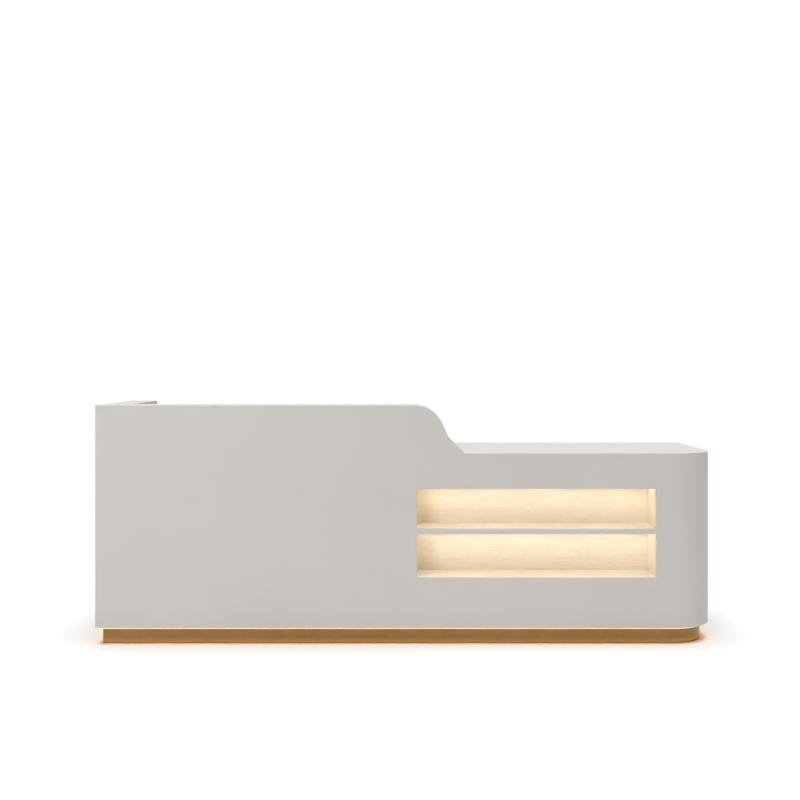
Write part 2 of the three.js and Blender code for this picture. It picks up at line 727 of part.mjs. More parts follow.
function cupboard() {
  const unit = assembly(counter);
  const upright = fits(baseTop, worktopUnder);
  const sideY = [front + skin + glueLine, frontsFace];
  const side = block([cupboardLeft, nicheLeft], sideY, upright);
  add(unit, "cupboard_side", cut(side, switchHole(), inletHole()), maple);
  const dividerY = [cupboardBack + thinBoard + glueLine, frontsFace];
  board(unit, "cupboard_divider", maple, [dividerLeft, dividerLeft + skin], dividerY, upright);
  const backX = fits(nicheLeft, right - skin);
  const back = block(backX, [cupboardBack, cupboardBack + thinBoard], upright);
  const holeY = [cupboardBack - past, cupboardBack + thinBoard + past];
  const leadHole = bar("y", ledLead.bore, ...holeY, feedX, driverZ, 20);
  add(unit, "cupboard_back", cut(back, leadHole), maple);
  const shelfZ = [baseTop + shelfHeight - skin, baseTop + shelfHeight];
  const shelfStart = cupboardBack + thinBoard + glueLine;
  const insideX = fits(nicheLeft, dividerLeft);
  const shelf = block(insideX, [shelfStart, frontsBack - shelfSetback], shelfZ);
  const leadRoom = mainsLead.radius + mainsLead.room;
  const cableNotch = block(
    [nicheLeft - past, nicheLeft + mainsLead.fromBoard + leadRoom],
    [inletY - leadRoom, inletY + leadRoom],
    [shelfZ[0] - past, shelfZ[1] + past],
  );
  add(unit, "cupboard_shelf", cut(shelf, cableNotch), maple);
  const openX = fits(dividerLeft + skin, right - skin);
  board(unit, "open_bay_shelf", maple, openX, [shelfStart, frontsFace - shelfSetback], shelfZ);

  const fromSide = skin / 2 + reveal;
  const width = (doorBayWidth - reveal) / 2 - fromSide;
  pivotDoor("left_door", 1, nicheLeft + fromSide, width);
  pivotDoor("right_door", -1, dividerLeft - fromSide, width);
}

// ---- Electrics ----

const grommetX = (pedestalRight + cupboardLeft) / 2;
const grommetY = wallInner + grommet.fromWall;

function cableGrommet() {
  const unit = assembly(counter, grommetX, grommetY, worktopHeight);
  const inside = grommet.radius - grommet.wall;
  const seat = -grommetCap.thickness - glueLine;
  const sleeve = join(
    bar("z", grommet.radius, -grommet.height, -glueLine, 0, 0),
    bar("z", grommet.flange, -grommet.flangeThickness, -glueLine, 0, 0),
  );
  const capSeat = bar("z", inside, seat - glueLine, past, 0, 0);
  const opening = bar("z", inside - grommet.wall / 2, -grommet.height - past, past, 0, 0);
  add(unit, "grommet_ring", cut(sleeve, capSeat, opening), whitePlastic);

  const disc = bar("z", inside - grommetCap.play, seat, -glueLine, 0, 0);
  const half = grommetCap.slot / 2;
  const slotEnd = inside / 2;
  const slot = new THREE.Shape();
  slot.moveTo(half, slotEnd);
  slot.absarc(0, slotEnd, half, 0, -Math.PI, true);
  slot.lineTo(-half, grommet.radius);
  slot.lineTo(half, grommet.radius);
  add(unit, "grommet_cap", cut(disc, extrude(slot, "z", seat - past, past)), whitePlastic);
}

const switchY = frontsBack - rocker.fromRear;
const switchZ = worktopUnder - rocker.belowWorktop;
const throughSide = [cupboardLeft - past, nicheLeft + past];

function switchHole() {
  const y = rocker.width / 2 + switchBody.wall + glueLine;
  const z = rocker.height / 2 + switchBody.wall + glueLine;
  return block(throughSide, [switchY - y, switchY + y], [switchZ - z, switchZ + z]);
}

// The lighting switch, read from the middle of its face, which looks towards -X.
function lightSwitch() {
  const unit = assembly(counter, cupboardLeft, switchY, switchZ);
  const halfY = rocker.width / 2;
  const halfZ = rocker.height / 2;
  const boxY = halfY + switchBody.wall;
  const boxZ = halfZ + switchBody.wall;
  const rimY = boxY + switchBody.flange;
  const rimZ = boxZ + switchBody.flange;
  const housing = join(
    block([-glueLine - switchBody.face / 2, switchBody.depth], [-boxY, boxY], [-boxZ, boxZ]),
    block([-switchBody.face, -glueLine], [-rimY, rimY], [-rimZ, rimZ]),
  );
  const well = block([-switchBody.face - past, switchBody.well], [-halfY, halfY], [-halfZ, halfZ]);
  add(unit, "switch_body", cut(housing, well), blackPlastic);

  // The rocker's side view: a shallow V of two faces over a round hub, turned to its "on" end.
  const tilt = radians(rocker.tilt);
  const tip = halfZ - rockerLever.tipGap;
  const tipFace = -rockerLever.back - tip * Math.tan(tilt);
  const outline = new THREE.Shape();
  outline.absarc(0, 0, rocker.hub, -Math.PI / 3, Math.PI / 3);
  outline.lineTo(-rockerLever.back, tip);
  outline.lineTo(tipFace, tip);
  outline.lineTo(-rockerLever.middle, 0);
  outline.lineTo(tipFace, -tip);
  outline.lineTo(-rockerLever.back, -tip);
  const lever = extrude(outline, "y", -halfY + rockerLever.play, halfY - rockerLever.play, 8);
  const piece = add(unit, "switch_rocker", lever, blackPlastic);
  piece.rotation.y = tilt;
}

const inletY = cupboardBack + thinBoard + inlet.fromBack;
const inletZ = inlet.aboveFloor;

function inletHole() {
  const y = inlet.width / 2 + glueLine;
  const z = inlet.height / 2 + glueLine;
  return block(throughSide, [inletY - y, inletY + y], [inletZ - z, inletZ + z]);
}

// The mains inlet for the lighting: a flanged socket with three flat pins in its well.
function powerInlet() {
  const unit = assembly(counter, cupboardLeft, inletY, inletZ);
  const halfY = inlet.width / 2;
  const halfZ = inlet.height / 2;
  const rimY = halfY + inlet.flange;
  const rimZ = halfZ + inletFace.aboveWell;
  const wellY = halfY - inletFace.wall;
  const wellZ = halfZ - inletFace.wall;
  const housing = join(
    block([-glueLine - inletFace.thickness / 2, inlet.depth], [-halfY, halfY], [-halfZ, halfZ]),
    block([-inletFace.thickness, -glueLine], [-rimY, rimY], [-rimZ, rimZ]),
  );
  const wellX = [-inletFace.thickness - past, inletFace.wellDepth];
  const well = block(wellX, [-wellY, wellY], [-wellZ, wellZ]);
  const pins = [-1, 0, 1].map((place) => {
    const y = place * inletPin.pitch;
    const z = place ? inletPin.low : inletPin.high;
    return block(
      [inletPin.from, inletFace.wellDepth + past],
      [y - inletPin.width / 2, y + inletPin.width / 2],
      [z - inletPin.height / 2, z + inletPin.height / 2],
    );
  });
  add(unit, "power_inlet", join(cut(housing, well), ...pins), blackPlastic);
}

// The LED driver, screwed to the cupboard's back by its two ears, with cooling grooves in its face.
function ledDriver() {
  const face = driver.thickness;
  const unit = assembly(counter, driverX, driverBack, driverZ);
  const earZ = driverEar.height / 2;
  const caseZ = driver.height / 2;
  const grooveZ = caseZ - driverGroove.margin;
  const ears = block(
    [-driverEar.length, driver.length + driverEar.length],
    [0, driverEar.thickness],
    [-earZ, earZ],
  );
  const body = block([0, driver.length], [0, face], [-caseZ, caseZ]);
  const grooves = Array.from({ length: driverGroove.count }, (_, i) => {
    const x = driverGroove.first + i * driverGroove.pitch;
    return block(
      [x, x + driverGroove.width],
      [face - driverGroove.depth, face + past],
      [-grooveZ, grooveZ],
    );
  });
  add(unit, "led_driver", cut(join(body, ears), ...grooves), aluminium);
}

// ---- Leads ----

// A line that runs straight between its corners, with a round bend at each of them.
class Route extends THREE.Curve {
  constructor(bend, ...stops) {
    super();
    const corner = stops.map(([x, y, z]) => new THREE.Vector3(x, y, z));
    this.line = [corner[0]];
    for (let i = 1; i < corner.length - 1; i += 1) {
      const [before, at, after] = corner.slice(i - 1, i + 2);
      const reach = Math.min(bend, before.distanceTo(at) / 2.1, at.distanceTo(after) / 2.1);
      const start = at.clone().lerp(before, reach / at.distanceTo(before));
      const end = at.clone().lerp(after, reach / at.distanceTo(after));
      this.line.push(...new THREE.QuadraticBezierCurve3(start, at, end).getPoints(4));
    }
    this.line.push(corner.at(-1));
  }

  getPoint(t, target = new THREE.Vector3()) {
    const at = t * (this.line.length - 1);
    const i = Math.min(Math.floor(at), this.line.length - 2);
    return target.lerpVectors(this.line[i], this.line[i + 1], at - i);
  }

  getSpacedPoints() {
    return this.line;
  }

  getTangentAt(u) {
    const at = Math.round(u * (this.line.length - 1));
    const before = this.line[Math.max(at - 1, 0)];
    const after = this.line[Math.min(at + 1, this.line.length - 1)];
    return after.clone().sub(before).normalize();
  }
}

function lead(radius, route) {
  const section = new THREE.Shape().absarc(0, 0, radius, 0, 2 * Math.PI);
  const steps = route.line.length - 1;
  return new THREE.ExtrudeGeometry(section, { steps, extrudePath: route, curveSegments: 5 });
}

// One lead from the driver to the three lights, with a branch for each.
function ledHarness() {
  const { radius, bend } = ledLead;
  const voidY = cupboardBack - serviceVoid / 2;
  const upperZ = nicheTop + feedRise;
  const lowerZ = lowerBayTop + feedRise;
  const baseZ = baseTop + bend + radius;
  const branchAbove = 1.5 * bend; // where a branch leaves the run down
  const toUpper = new Route(
    bend,
    [driverX + driver.length + glueLine, driverY, driverZ],
    [feedX, driverY, driverZ],
    [feedX, voidY, driverZ],
    [feedX, voidY, upperZ],
    [feedX, profileY, upperZ],
  );
  const toLower = new Route(
    bend,
    [feedX, voidY, upperZ + branchAbove],
    [feedX, voidY, lowerZ],
    [feedX, profileY, lowerZ],
  );
  const toPlinth = new Route(
    bend,
    [feedX, voidY, lowerZ + branchAbove],
    [feedX, voidY, baseZ],
    [feedX, stripMiddle, baseZ],
    [feedX, stripMiddle, plinthHeight],
  );
  const branches = [toLower, toPlinth].map((route) => lead(radius, route));
  add(counter, "led_lead", join(lead(radius, toUpper), ...branches), blackPlastic);
}

// The mains lead: from the inlet to the switch, and back from the switch to the driver.
function mainsHarness() {
  const { radius, bend } = mainsLead;
  const x = nicheLeft + mainsLead.fromBoard;
  const terminal = switchZ - rocker.height / 2 - switchBody.wall;
  const lowZ = terminal - mainsLead.lowRun;
  const highZ = terminal - mainsLead.highRun;
  const toSwitch = new Route(
    bend,
    [x, inletY, inletZ + inlet.height / 2 + glueLine],
    [x, inletY, lowZ],
    [x, switchY, lowZ],
    [x, switchY, terminal - glueLine],
  );
  const toDriver = new Route(
    bend,
    [x, switchY, terminal - glueLine],
    [x, switchY, highZ],
    [x, driverY, highZ],
    [x, driverY, driverZ],
    [driverX - glueLine, driverY, driverZ],
  );
  add(counter, "mains_lead", join(lead(radius, toSwitch), lead(radius, toDriver)), blackPlastic);
}

// ---- The counter ----

casingPieces();
carcass();
toeKick();
displayNiche();
drawers();
drawerLock();
keyboardTray();
cupboard();
cableGrommet();
lightSwitch();
powerInlet();
ledDriver();
ledHarness();
mainsHarness();

export default counter;
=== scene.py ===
# %% [markdown]
# # A checkout counter, finished in Blender
# The counter arrives as a frame of plain solids, each in its true place. The frame says where
# every board, hinge and lamp is, so nothing here is moved. This lesson gives the pieces their
# finish: sprayed, veneered and melamine board, brass, turned steel, moulded plastic, and the
# warm light inside the niche.

import json

import bmesh
import bpy
import numpy as np
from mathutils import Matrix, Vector

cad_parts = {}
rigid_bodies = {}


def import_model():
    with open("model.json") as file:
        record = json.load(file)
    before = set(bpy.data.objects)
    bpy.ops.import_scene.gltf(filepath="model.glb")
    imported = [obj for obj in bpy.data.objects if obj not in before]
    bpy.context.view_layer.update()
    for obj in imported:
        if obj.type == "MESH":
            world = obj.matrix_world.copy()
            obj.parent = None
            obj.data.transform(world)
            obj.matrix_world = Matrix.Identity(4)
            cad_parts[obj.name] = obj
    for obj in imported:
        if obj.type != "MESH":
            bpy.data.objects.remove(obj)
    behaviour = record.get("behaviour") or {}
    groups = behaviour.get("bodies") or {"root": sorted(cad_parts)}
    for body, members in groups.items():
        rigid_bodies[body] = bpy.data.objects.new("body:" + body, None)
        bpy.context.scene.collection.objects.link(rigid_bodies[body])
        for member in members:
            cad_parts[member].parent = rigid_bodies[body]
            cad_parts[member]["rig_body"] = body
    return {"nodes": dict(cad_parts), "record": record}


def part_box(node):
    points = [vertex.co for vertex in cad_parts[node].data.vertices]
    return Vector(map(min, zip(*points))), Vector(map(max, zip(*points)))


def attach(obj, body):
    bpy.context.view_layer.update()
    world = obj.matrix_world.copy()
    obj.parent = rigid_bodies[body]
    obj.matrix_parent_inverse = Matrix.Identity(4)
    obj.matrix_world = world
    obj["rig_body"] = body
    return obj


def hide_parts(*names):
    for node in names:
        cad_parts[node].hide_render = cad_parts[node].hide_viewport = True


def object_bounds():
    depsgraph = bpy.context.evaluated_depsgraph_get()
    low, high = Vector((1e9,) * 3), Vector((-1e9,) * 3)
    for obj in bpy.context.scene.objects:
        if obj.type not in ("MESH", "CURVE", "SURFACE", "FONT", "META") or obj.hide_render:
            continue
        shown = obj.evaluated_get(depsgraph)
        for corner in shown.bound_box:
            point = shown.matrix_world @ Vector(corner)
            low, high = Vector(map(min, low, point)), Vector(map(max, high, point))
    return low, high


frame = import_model()
cad_box = [list(corner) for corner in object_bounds()]
print("nodes", len(frame["nodes"]), "box", [[round(v, 3) for v in corner] for corner in cad_box])

# %% [markdown]
# ## Camera
# The counter is shown straight from the customer's side. Verticals stay parallel, because the
# camera looks level along +Y and the view is moved by lens shift instead of by tilting. From a
# standing person's eyes the low worktop shows as a thin, bright strip.

# %% Place the camera
scene = bpy.context.scene
LENS = 50.0
LENS_SHIFT = (0.0025, -0.0412)
FRONT_DISTANCE = 4.64
CAMERA_X = -0.035
EYE_HEIGHT = 1.159
(x_left, y_front, _), (x_right, y_rear, _) = cad_box

camera_data = bpy.data.cameras.new("camera")
camera_data.lens = LENS
camera_data.shift_x, camera_data.shift_y = LENS_SHIFT
camera = bpy.data.objects.new("camera", camera_data)
scene.collection.objects.link(camera)
camera.location = (CAMERA_X, y_front - FRONT_DISTANCE, EYE_HEIGHT)
camera.rotation_euler = (np.pi / 2, 0, 0)
scene.camera = camera
scene.view_settings.view_transform = "Standard"
print("camera at", [round(v, 3) for v in camera.location])

# %% [markdown]
# ## Floor and light
# A product studio is a pale floor that runs on into a white surround. A high, soft light makes
# what faces up the brightest, the floor throws half of it back on the upright faces, and one
# big light from the customer's left brightens the front, so that it falls off towards the right
# and the round corner turns away into shade.

# %% Lay the floor
FLOOR_SIZE = 60.0
FLOOR_DROP = 0.0005


def flat_square(name, size, height):
    """A square of the given side in the plane z = height, centred on the z axis."""
    half = size / 2
    corners = half * np.array([[-1, -1, 0], [1, -1, 0], [1, 1, 0], [-1, 1, 0]]) + [0, 0, height]
    mesh = bpy.data.meshes.new(name)
    mesh.from_pydata(corners.tolist(), [], [[0, 1, 2, 3]])
    made = bpy.data.objects.new(name, mesh)
    scene.collection.objects.link(made)
    return made


floor = flat_square("floor", FLOOR_SIZE, -FLOOR_DROP)
print("floor", FLOOR_SIZE, "m square")

# %% [markdown]
# The surround has three brightnesses: what the camera sees of it is white, what a gloss mirrors
# of it is bright, and what it casts on the counter is faint, because the lamps do that work.

# %% Set the surround
SURROUND = {"cast": 0.1, "mirrored": 0.5, "seen": 1.05}

world = bpy.data.worlds.new("surround")
scene.world = world
world.use_nodes = True
sky = world.node_tree
ray = sky.nodes.new("ShaderNodeLightPath")


def sky_of(strength):
    """A plain white background of the given strength."""
    made = sky.nodes.new("ShaderNodeBackground")
    made.inputs["Strength"].default_value = strength
    made.inputs["Color"].default_value = (1, 1, 1, 1)
    return made.outputs[0]


def sky_mix(ray_kind, other, chosen):
    """`chosen` for rays of that kind, and `other` for the rest."""
    mix = sky.nodes.new("ShaderNodeMixShader")
    sky.links.new(ray.outputs[ray_kind], mix.inputs[0])
    sky.links.new(other, mix.inputs[1])
    sky.links.new(chosen, mix.inputs[2])
    return mix.outputs[0]


lit = sky_mix("Is Glossy Ray", sky_of(SURROUND["cast"]), sky_of(SURROUND["mirrored"]))
lit = sky_mix("Is Camera Ray", lit, sky_of(SURROUND["seen"]))
sky.links.new(lit, sky.nodes["World Output"].inputs["Surface"])
print("surround", SURROUND)

# %% Hang the lamps
HIGH_LIGHT = 3.9
HIGH_SPREAD = np.radians(42)
LEFT_LIGHT = 148.0


def lamp(name, kind, place, aim, energy, **settings):
    """A lamp at place that points at aim."""
    data = bpy.data.lights.new(name, kind)
    data.energy = energy
    for key, value in settings.items():
        setattr(data, key, value)
    made = bpy.data.objects.new(name, data)
    scene.collection.objects.link(made)
    made.location = place
    made.rotation_euler = (Vector(aim) - Vector(place)).to_track_quat("-Z", "Y").to_euler()
    return made


lamp("high_light", "SUN", (0, 0, 5), (0, 0.05, 0), HIGH_LIGHT, angle=HIGH_SPREAD)
lamp("left_light", "AREA", (-3.2, -7.6, 1.7), (0, 0, 0.6), LEFT_LIGHT, shape="DISK", size=2.5)
print("high light", HIGH_LIGHT, "left light", LEFT_LIGHT)

# %% [markdown]
# ## Shader maths as Python
# A node tree is easier to read as an expression. This class wraps a socket, so that `a * b + c`
# adds the Math nodes for it, and one method adds any other node from its type, its settings and
# the values of its sockets.


# %% Define the socket class
class Shade:
    """A socket in a material's node tree, which arithmetic turns into Math nodes."""

    def __init__(self, tree, socket):
        self.tree = tree
        self.socket = socket

    def node(self, kind, settings=None, out=0, **inputs):
        """Adds a node: settings first, then values or links by socket name or index."""
        added = self.tree.nodes.new(kind)
        settings = dict(settings or {})
        stops = settings.pop("stops", None)
        for key, value in settings.items():
            setattr(added, key, value)
        if stops:
            ramp = added.color_ramp
            while len(ramp.elements) < len(stops):
                ramp.elements.new(0.5)
            for element, (position, colour) in zip(ramp.elements, stops):
                element.position = position
                element.color = (*colour, 1)
        for key, value in inputs.items():
            name = int(key[1:]) if key[0] == "_" else key.replace("_", " ")
            plug(self.tree, added.inputs[name], value)
        return Shade(self.tree, added.outputs[out])

    def math(self, operation, *values):
        inputs = {f"_{i}": value for i, value in enumerate(values)}
        return self.node("ShaderNodeMath", {"operation": operation}, **inputs)

    def __add__(self, other):
        return self.math("ADD", self, other)

    def __radd__(self, other):
        return self.math("ADD", other, self)

    def __sub__(self, other):
        return self.math("SUBTRACT", self, other)

    def __rsub__(self, other):
        return self.math("SUBTRACT", other, self)

    def __mul__(self, other):
        return self.math("MULTIPLY", self, other)

    def __rmul__(self, other):
        return self.math("MULTIPLY", other, self)

    def between(self, low, high):
        """0 below low, 1 above high, and a smooth rise between them."""
        settings = {"interpolation_type": "SMOOTHSTEP"}
        return self.node("ShaderNodeMapRange", settings, _0=self, _1=low, _2=high)


def plug(tree, target, value):
    """Links a Shade to a socket, or sets the socket's own value."""
    if isinstance(value, Shade):
        tree.links.new(value.socket, target)
    elif isinstance(value, (tuple, list)) and len(value) == 3 and target.type == "RGBA":
        target.default_value = (*value, 1)
    else:
        target.default_value = value


print("made", Shade.__name__)

# %% [markdown]
# ## Finishes
# Every finish starts from the same few steps: a Principled shader, noise on Object coordinates,
# which are in metres and don't slide, and a small bump. A finish differs in its scales, which
# are given in metres of the real thing.


# %% Start a finish
class Finish:
    """A material with its Principled shader and the Object coordinates at hand."""

    def __init__(self, name, **uniform):
        self.material = bpy.data.materials.new(name)
        self.material.use_nodes = True
        self.tree = self.material.node_tree
        self.shader = self.tree.nodes["Principled BSDF"]
        coordinates = self.tree.nodes.new("ShaderNodeTexCoord")
        self.place = Shade(self.tree, coordinates.outputs["Object"])
        for key, value in uniform.items():
            plug(self.tree, self.shader.inputs[key.replace("_", " ")], value)

    def axis(self, index):
        """One coordinate of the place, in metres."""
        return self.place.node("ShaderNodeSeparateXYZ", out=index, Vector=self.place)

    def stretched(self, scale):
        """Object coordinates, scaled along each axis."""
        return self.place.node("ShaderNodeMapping", Vector=self.place, Scale=scale)

    def noise(self, size, detail=2.0, rough=0.5, scale=(1, 1, 1), twist=0.0):
        """Noise whose features are about `size` metres across, from 0 to 1."""
        return self.place.node(
            "ShaderNodeTexNoise",
            Vector=self.stretched(scale),
            Scale=1 / size,
            Detail=detail,
            Roughness=rough,
            Distortion=twist,
        )

    def ramp(self, value, *stops):
        return self.place.node("ShaderNodeValToRGB", {"stops": stops}, Fac=value)

    def blend(self, amount, first, second):
        """A colour between first, at amount 0, and second, at amount 1."""
        return self.place.node("ShaderNodeMix", {"data_type": "RGBA"}, 2, _0=amount, _6=first, _7=second)

    def bump(self, height, distance, strength=1.0):
        made = self.place.node("ShaderNodeBump", Height=height, Distance=distance, Strength=strength)
        plug(self.tree, self.shader.inputs["Normal"], made)

    def feed(self, **varying):
        for key, value in varying.items():
            plug(self.tree, self.shader.inputs[key.replace("_", " ")], value)
        return self.material


print("made", Finish.__name__)

# %% [markdown]
# ### Lacquer
# The casing is sprayed board, rubbed down and sprayed again. Up close a sprayed coat has a fine
# orange peel, about two millimetres from crest to crest and a few hundredths deep. Its tint
# drifts very slightly over half a metre, and polishing leaves patches a little glossier.


# %% Mix the lacquer
def make_lacquer():
    finish = Finish("lacquer", IOR=1.45, Specular_IOR_Level=0.4)
    drift = finish.noise(0.45, detail=3)
    rubbed = finish.noise(0.09, detail=5, rough=0.6)
    peel = finish.noise(0.0024, detail=1)
    dust = finish.noise(0.0011, detail=0).between(0.76, 0.82)
    tint = finish.ramp(drift, (0.3, (0.595, 0.569, 0.545)), (0.7, (0.62, 0.594, 0.569)))
    colour = finish.blend(0.25 * dust, tint, (0.5, 0.47, 0.44))
    finish.bump(peel, 0.00006, 0.5)
    return finish.feed(Base_Color=colour, Roughness=0.36 + 0.16 * rubbed)


lacquer = make_lacquer()
print("made", lacquer.name)

# %% [markdown]
# ### Maple
# The niche, the cupboard and the drawer boxes are faced with a pale maple. Its grain is long
# streaks with a soft wander, a few slow bands, and pores like short dark scratches. The streaks
# are noise squeezed across the grain. Two cuts of the sheet exist: one with its grain level,
# for shelves and backs, and one with its grain upright, for the sides. What the goods stand on
# in the niche is painted lighter, towards white: painted light from the strips above.


# %% Mix the maples
LEVEL_GRAIN = (1, 14, 14)
UPRIGHT_GRAIN = (14, 14, 1)


def make_maple(name, squeeze, painted_light_share=0.0):
    """Maple, its grain squeezed along some axes, more or less lightened towards white as painted light."""
    finish = Finish(name, IOR=1.46, Specular_IOR_Level=0.35)
    bands = finish.noise(1.1, detail=2, scale=squeeze, twist=0.6)
    streaks = finish.noise(0.13, detail=6, rough=0.65, scale=squeeze, twist=0.15)
    pores = finish.noise(0.022, detail=1, scale=squeeze).between(0.64, 0.72)
    pale = finish.ramp(
        streaks,
        (0.28, (0.79, 0.715, 0.6)),
        (0.46, (0.85, 0.785, 0.69)),
        (0.6, (0.875, 0.82, 0.735)),
        (0.78, (0.9, 0.855, 0.78)),
    )
    warm = finish.blend(0.4 * bands.between(0.35, 0.7), pale, (0.85, 0.785, 0.685))
    colour = finish.blend(0.3 * pores, warm, (0.5, 0.36, 0.22))
    finish.bump(streaks - pores, 0.00008, 0.35)
    # Painted light: lightened towards white where the niche's strips shine down on its floors.
    painted_lit_colour = finish.blend(painted_light_share, colour, (0.95, 0.95, 0.95))
    return finish.feed(Base_Color=painted_lit_colour, Roughness=0.42 + 0.2 * streaks)


maple = make_maple("maple", LEVEL_GRAIN)
maple_upright = make_maple("maple_upright", UPRIGHT_GRAIN)
# The niche's two floors: maple painted lighter, as painted light from the strips above.
maple_painted_light = make_maple("maple_painted_light", LEVEL_GRAIN, painted_light_share=0.7)
print("made", maple.name, maple_upright.name, maple_painted_light.name)

# %% [markdown]
# ### Melamine and plywood
# Boards that nobody sees are cheaper. The carcass is white melamine, whose pressed texture is
# like fine leather, under a millimetre across. The plinth frame is bare birch plywood: a level
# grain on its faces, darker at each glue line, with a few knots' shadows.


# %% Mix the board faces
def make_melamine():
    finish = Finish("carcass_board", IOR=1.5, Specular_IOR_Level=0.45)
    pressed = finish.noise(0.0009, detail=3, rough=0.6)
    cloudy = finish.noise(0.2, detail=2)
    finish.bump(pressed, 0.00012, 0.6)
    colour = finish.ramp(cloudy, (0.3, (0.70, 0.68, 0.64)), (0.7, (0.76, 0.74, 0.71)))
    return finish.feed(Base_Color=colour, Roughness=0.5 + 0.15 * pressed)


def make_plywood():
    finish = Finish("plain_board", IOR=1.46, Specular_IOR_Level=0.2)
    streaks = finish.noise(0.3, detail=6, rough=0.7, scale=(1, 1, 22), twist=0.3)
    knots = finish.noise(0.16, detail=1, scale=(1, 1, 2)).between(0.66, 0.78)
    fibres = finish.noise(0.0015, detail=2)
    wood = finish.ramp(
        streaks, (0.3, (0.40, 0.26, 0.14)), (0.5, (0.55, 0.39, 0.23)), (0.7, (0.64, 0.49, 0.32))
    )
    finish.bump(streaks + 0.4 * fibres, 0.0003, 0.5)
    return finish.feed(Base_Color=finish.blend(0.6 * knots, wood, (0.25, 0.13, 0.06)), Roughness=0.75)


melamine = make_melamine()
plywood = make_plywood()
print("made", melamine.name, plywood.name)

# %% [markdown]
# ### Brass, aluminium and steel
# Brushed metal is a mirror with fine scratches all one way, so the scratches are noise squeezed
# a hundredfold across the brush. They tilt the surface and change its gloss. The toe-kick's
# brass is brushed level and has toned a little under its lacquer, and its lowest centimetres are
# painted a brighter gold: a painted glow that stands in for the warm lit floor the brass reflects.
# The light channels are anodised aluminium, and the fittings are zinc plated, with the faint
# cloud of their bath.


# %% Mix the metals
def make_metal(name, dark, light, brush, gloss, rough_span, depth, wear_and_painted_glow=None):
    """A brushed metal: colour from dark to light, scratches squeezed by `brush`.

    The last argument, if given: (height, height, colour), a painted glow: between those heights that
    colour takes over towards the floor, for the lit floor's warm light.
    """
    finish = Finish(name, Metallic=1.0)
    scratch = finish.noise(0.02, detail=4, rough=0.75, scale=brush)
    bath = finish.noise(0.06, detail=4, rough=0.6)
    toned = finish.blend(bath.between(0.3, 0.7), dark, light)
    colour = finish.blend(0.3 * scratch.between(0.35, 0.7), toned, tuple(0.6 * c for c in dark))
    # Painted glow: towards the floor the colour turns a brighter gold, standing in for the lit floor's
    # warm light.
    if wear_and_painted_glow:
        low, high, painted_glow_colour = wear_and_painted_glow
        colour = finish.blend(finish.axis(2).between(low, high), painted_glow_colour, colour)
    finish.bump(scratch, depth, 0.4)
    return finish.feed(Base_Color=colour, Roughness=gloss + rough_span * scratch)


# Painted glow on the brass's lowest centimetres, standing in for the warm lit floor that it reflects.
PAINTED_FLOOR_GLOW = (0.004, 0.026, (0.5, 0.25, 0.05))
brass = make_metal(
    "brass",
    dark=(0.25, 0.15, 0.055),
    light=(0.3, 0.18, 0.07),
    brush=(1, 1, 90),
    gloss=0.16,
    rough_span=0.14,
    depth=0.00003,
    wear_and_painted_glow=PAINTED_FLOOR_GLOW,
)
aluminium = make_metal(
    "aluminium",
    dark=(0.72, 0.72, 0.73),
    light=(0.8, 0.8, 0.8),
    brush=(1, 60, 60),
    gloss=0.32,
    rough_span=0.16,
    depth=0.00002,
)
steel = make_metal(
    "steel",
    dark=(0.50, 0.51, 0.53),
    light=(0.62, 0.63, 0.62),
    brush=(6, 6, 6),
    gloss=0.24,
    rough_span=0.2,
    depth=0.00001,
)
print("made", brass.name, aluminium.name, steel.name)

# %% [markdown]
# ### Plastics
# Moulded parts carry the spark-eroded texture of their tool: a grain of a third of a
# millimetre. Handling polishes it a little. The leads' sheath is softer and duller, with a
# faint ripple along it from the extruder.


# %% Mix the plastics
def make_moulded(name, colour, wear_and_painted_glow, grain=0.0004, depth=0.00004):
    finish = Finish(name, IOR=1.5, Specular_IOR_Level=0.4)
    texture = finish.noise(grain, detail=2)
    handled = finish.noise(0.03, detail=4)
    finish.bump(texture, depth, 0.6)
    tint = finish.blend(handled.between(0.35, 0.75), colour, wear_and_painted_glow)
    return finish.feed(Base_Color=tint, Roughness=0.34 + 0.22 * handled)


black_plastic = make_moulded("black_plastic", (0.014, 0.014, 0.016), (0.024, 0.024, 0.026))
white_plastic = make_moulded("white_plastic", (0.74, 0.74, 0.72), (0.79, 0.79, 0.77))
sheath = make_moulded("lead_sheath", (0.02, 0.02, 0.022), (0.045, 0.044, 0.042), 0.0022, 0.00009)
print("made", black_plastic.name, white_plastic.name, sheath.name)

# %% [markdown]
# ### The lit diffusers
# Behind each opal strip sits a row of light-emitting diodes, one every sixteen millimetres. The
# opal evens them out, and leaves a soft beat of brighter and weaker places. The glow is an
# emission whose colour carries that beat, so the lamp and its look are one thing. In the niche
# the diodes sit closer together near both ends, to light the corners as well. The strip at
# the plinth has dense sides, and lets its light out only through the lens underneath.


# %% Light the diffusers
LED_PITCH = 0.0167
NICHE_GLOW = (1.0, 0.76, 0.435)
NICHE_POWER = 20.0
PLINTH_GLOW = (1.0, 0.5, 0.15)
PLINTH_POWER = 6.0
PLINTH_LENS = 0.0008
END_BOOST = 0.11
MIDDLE_SHARE = 0.54


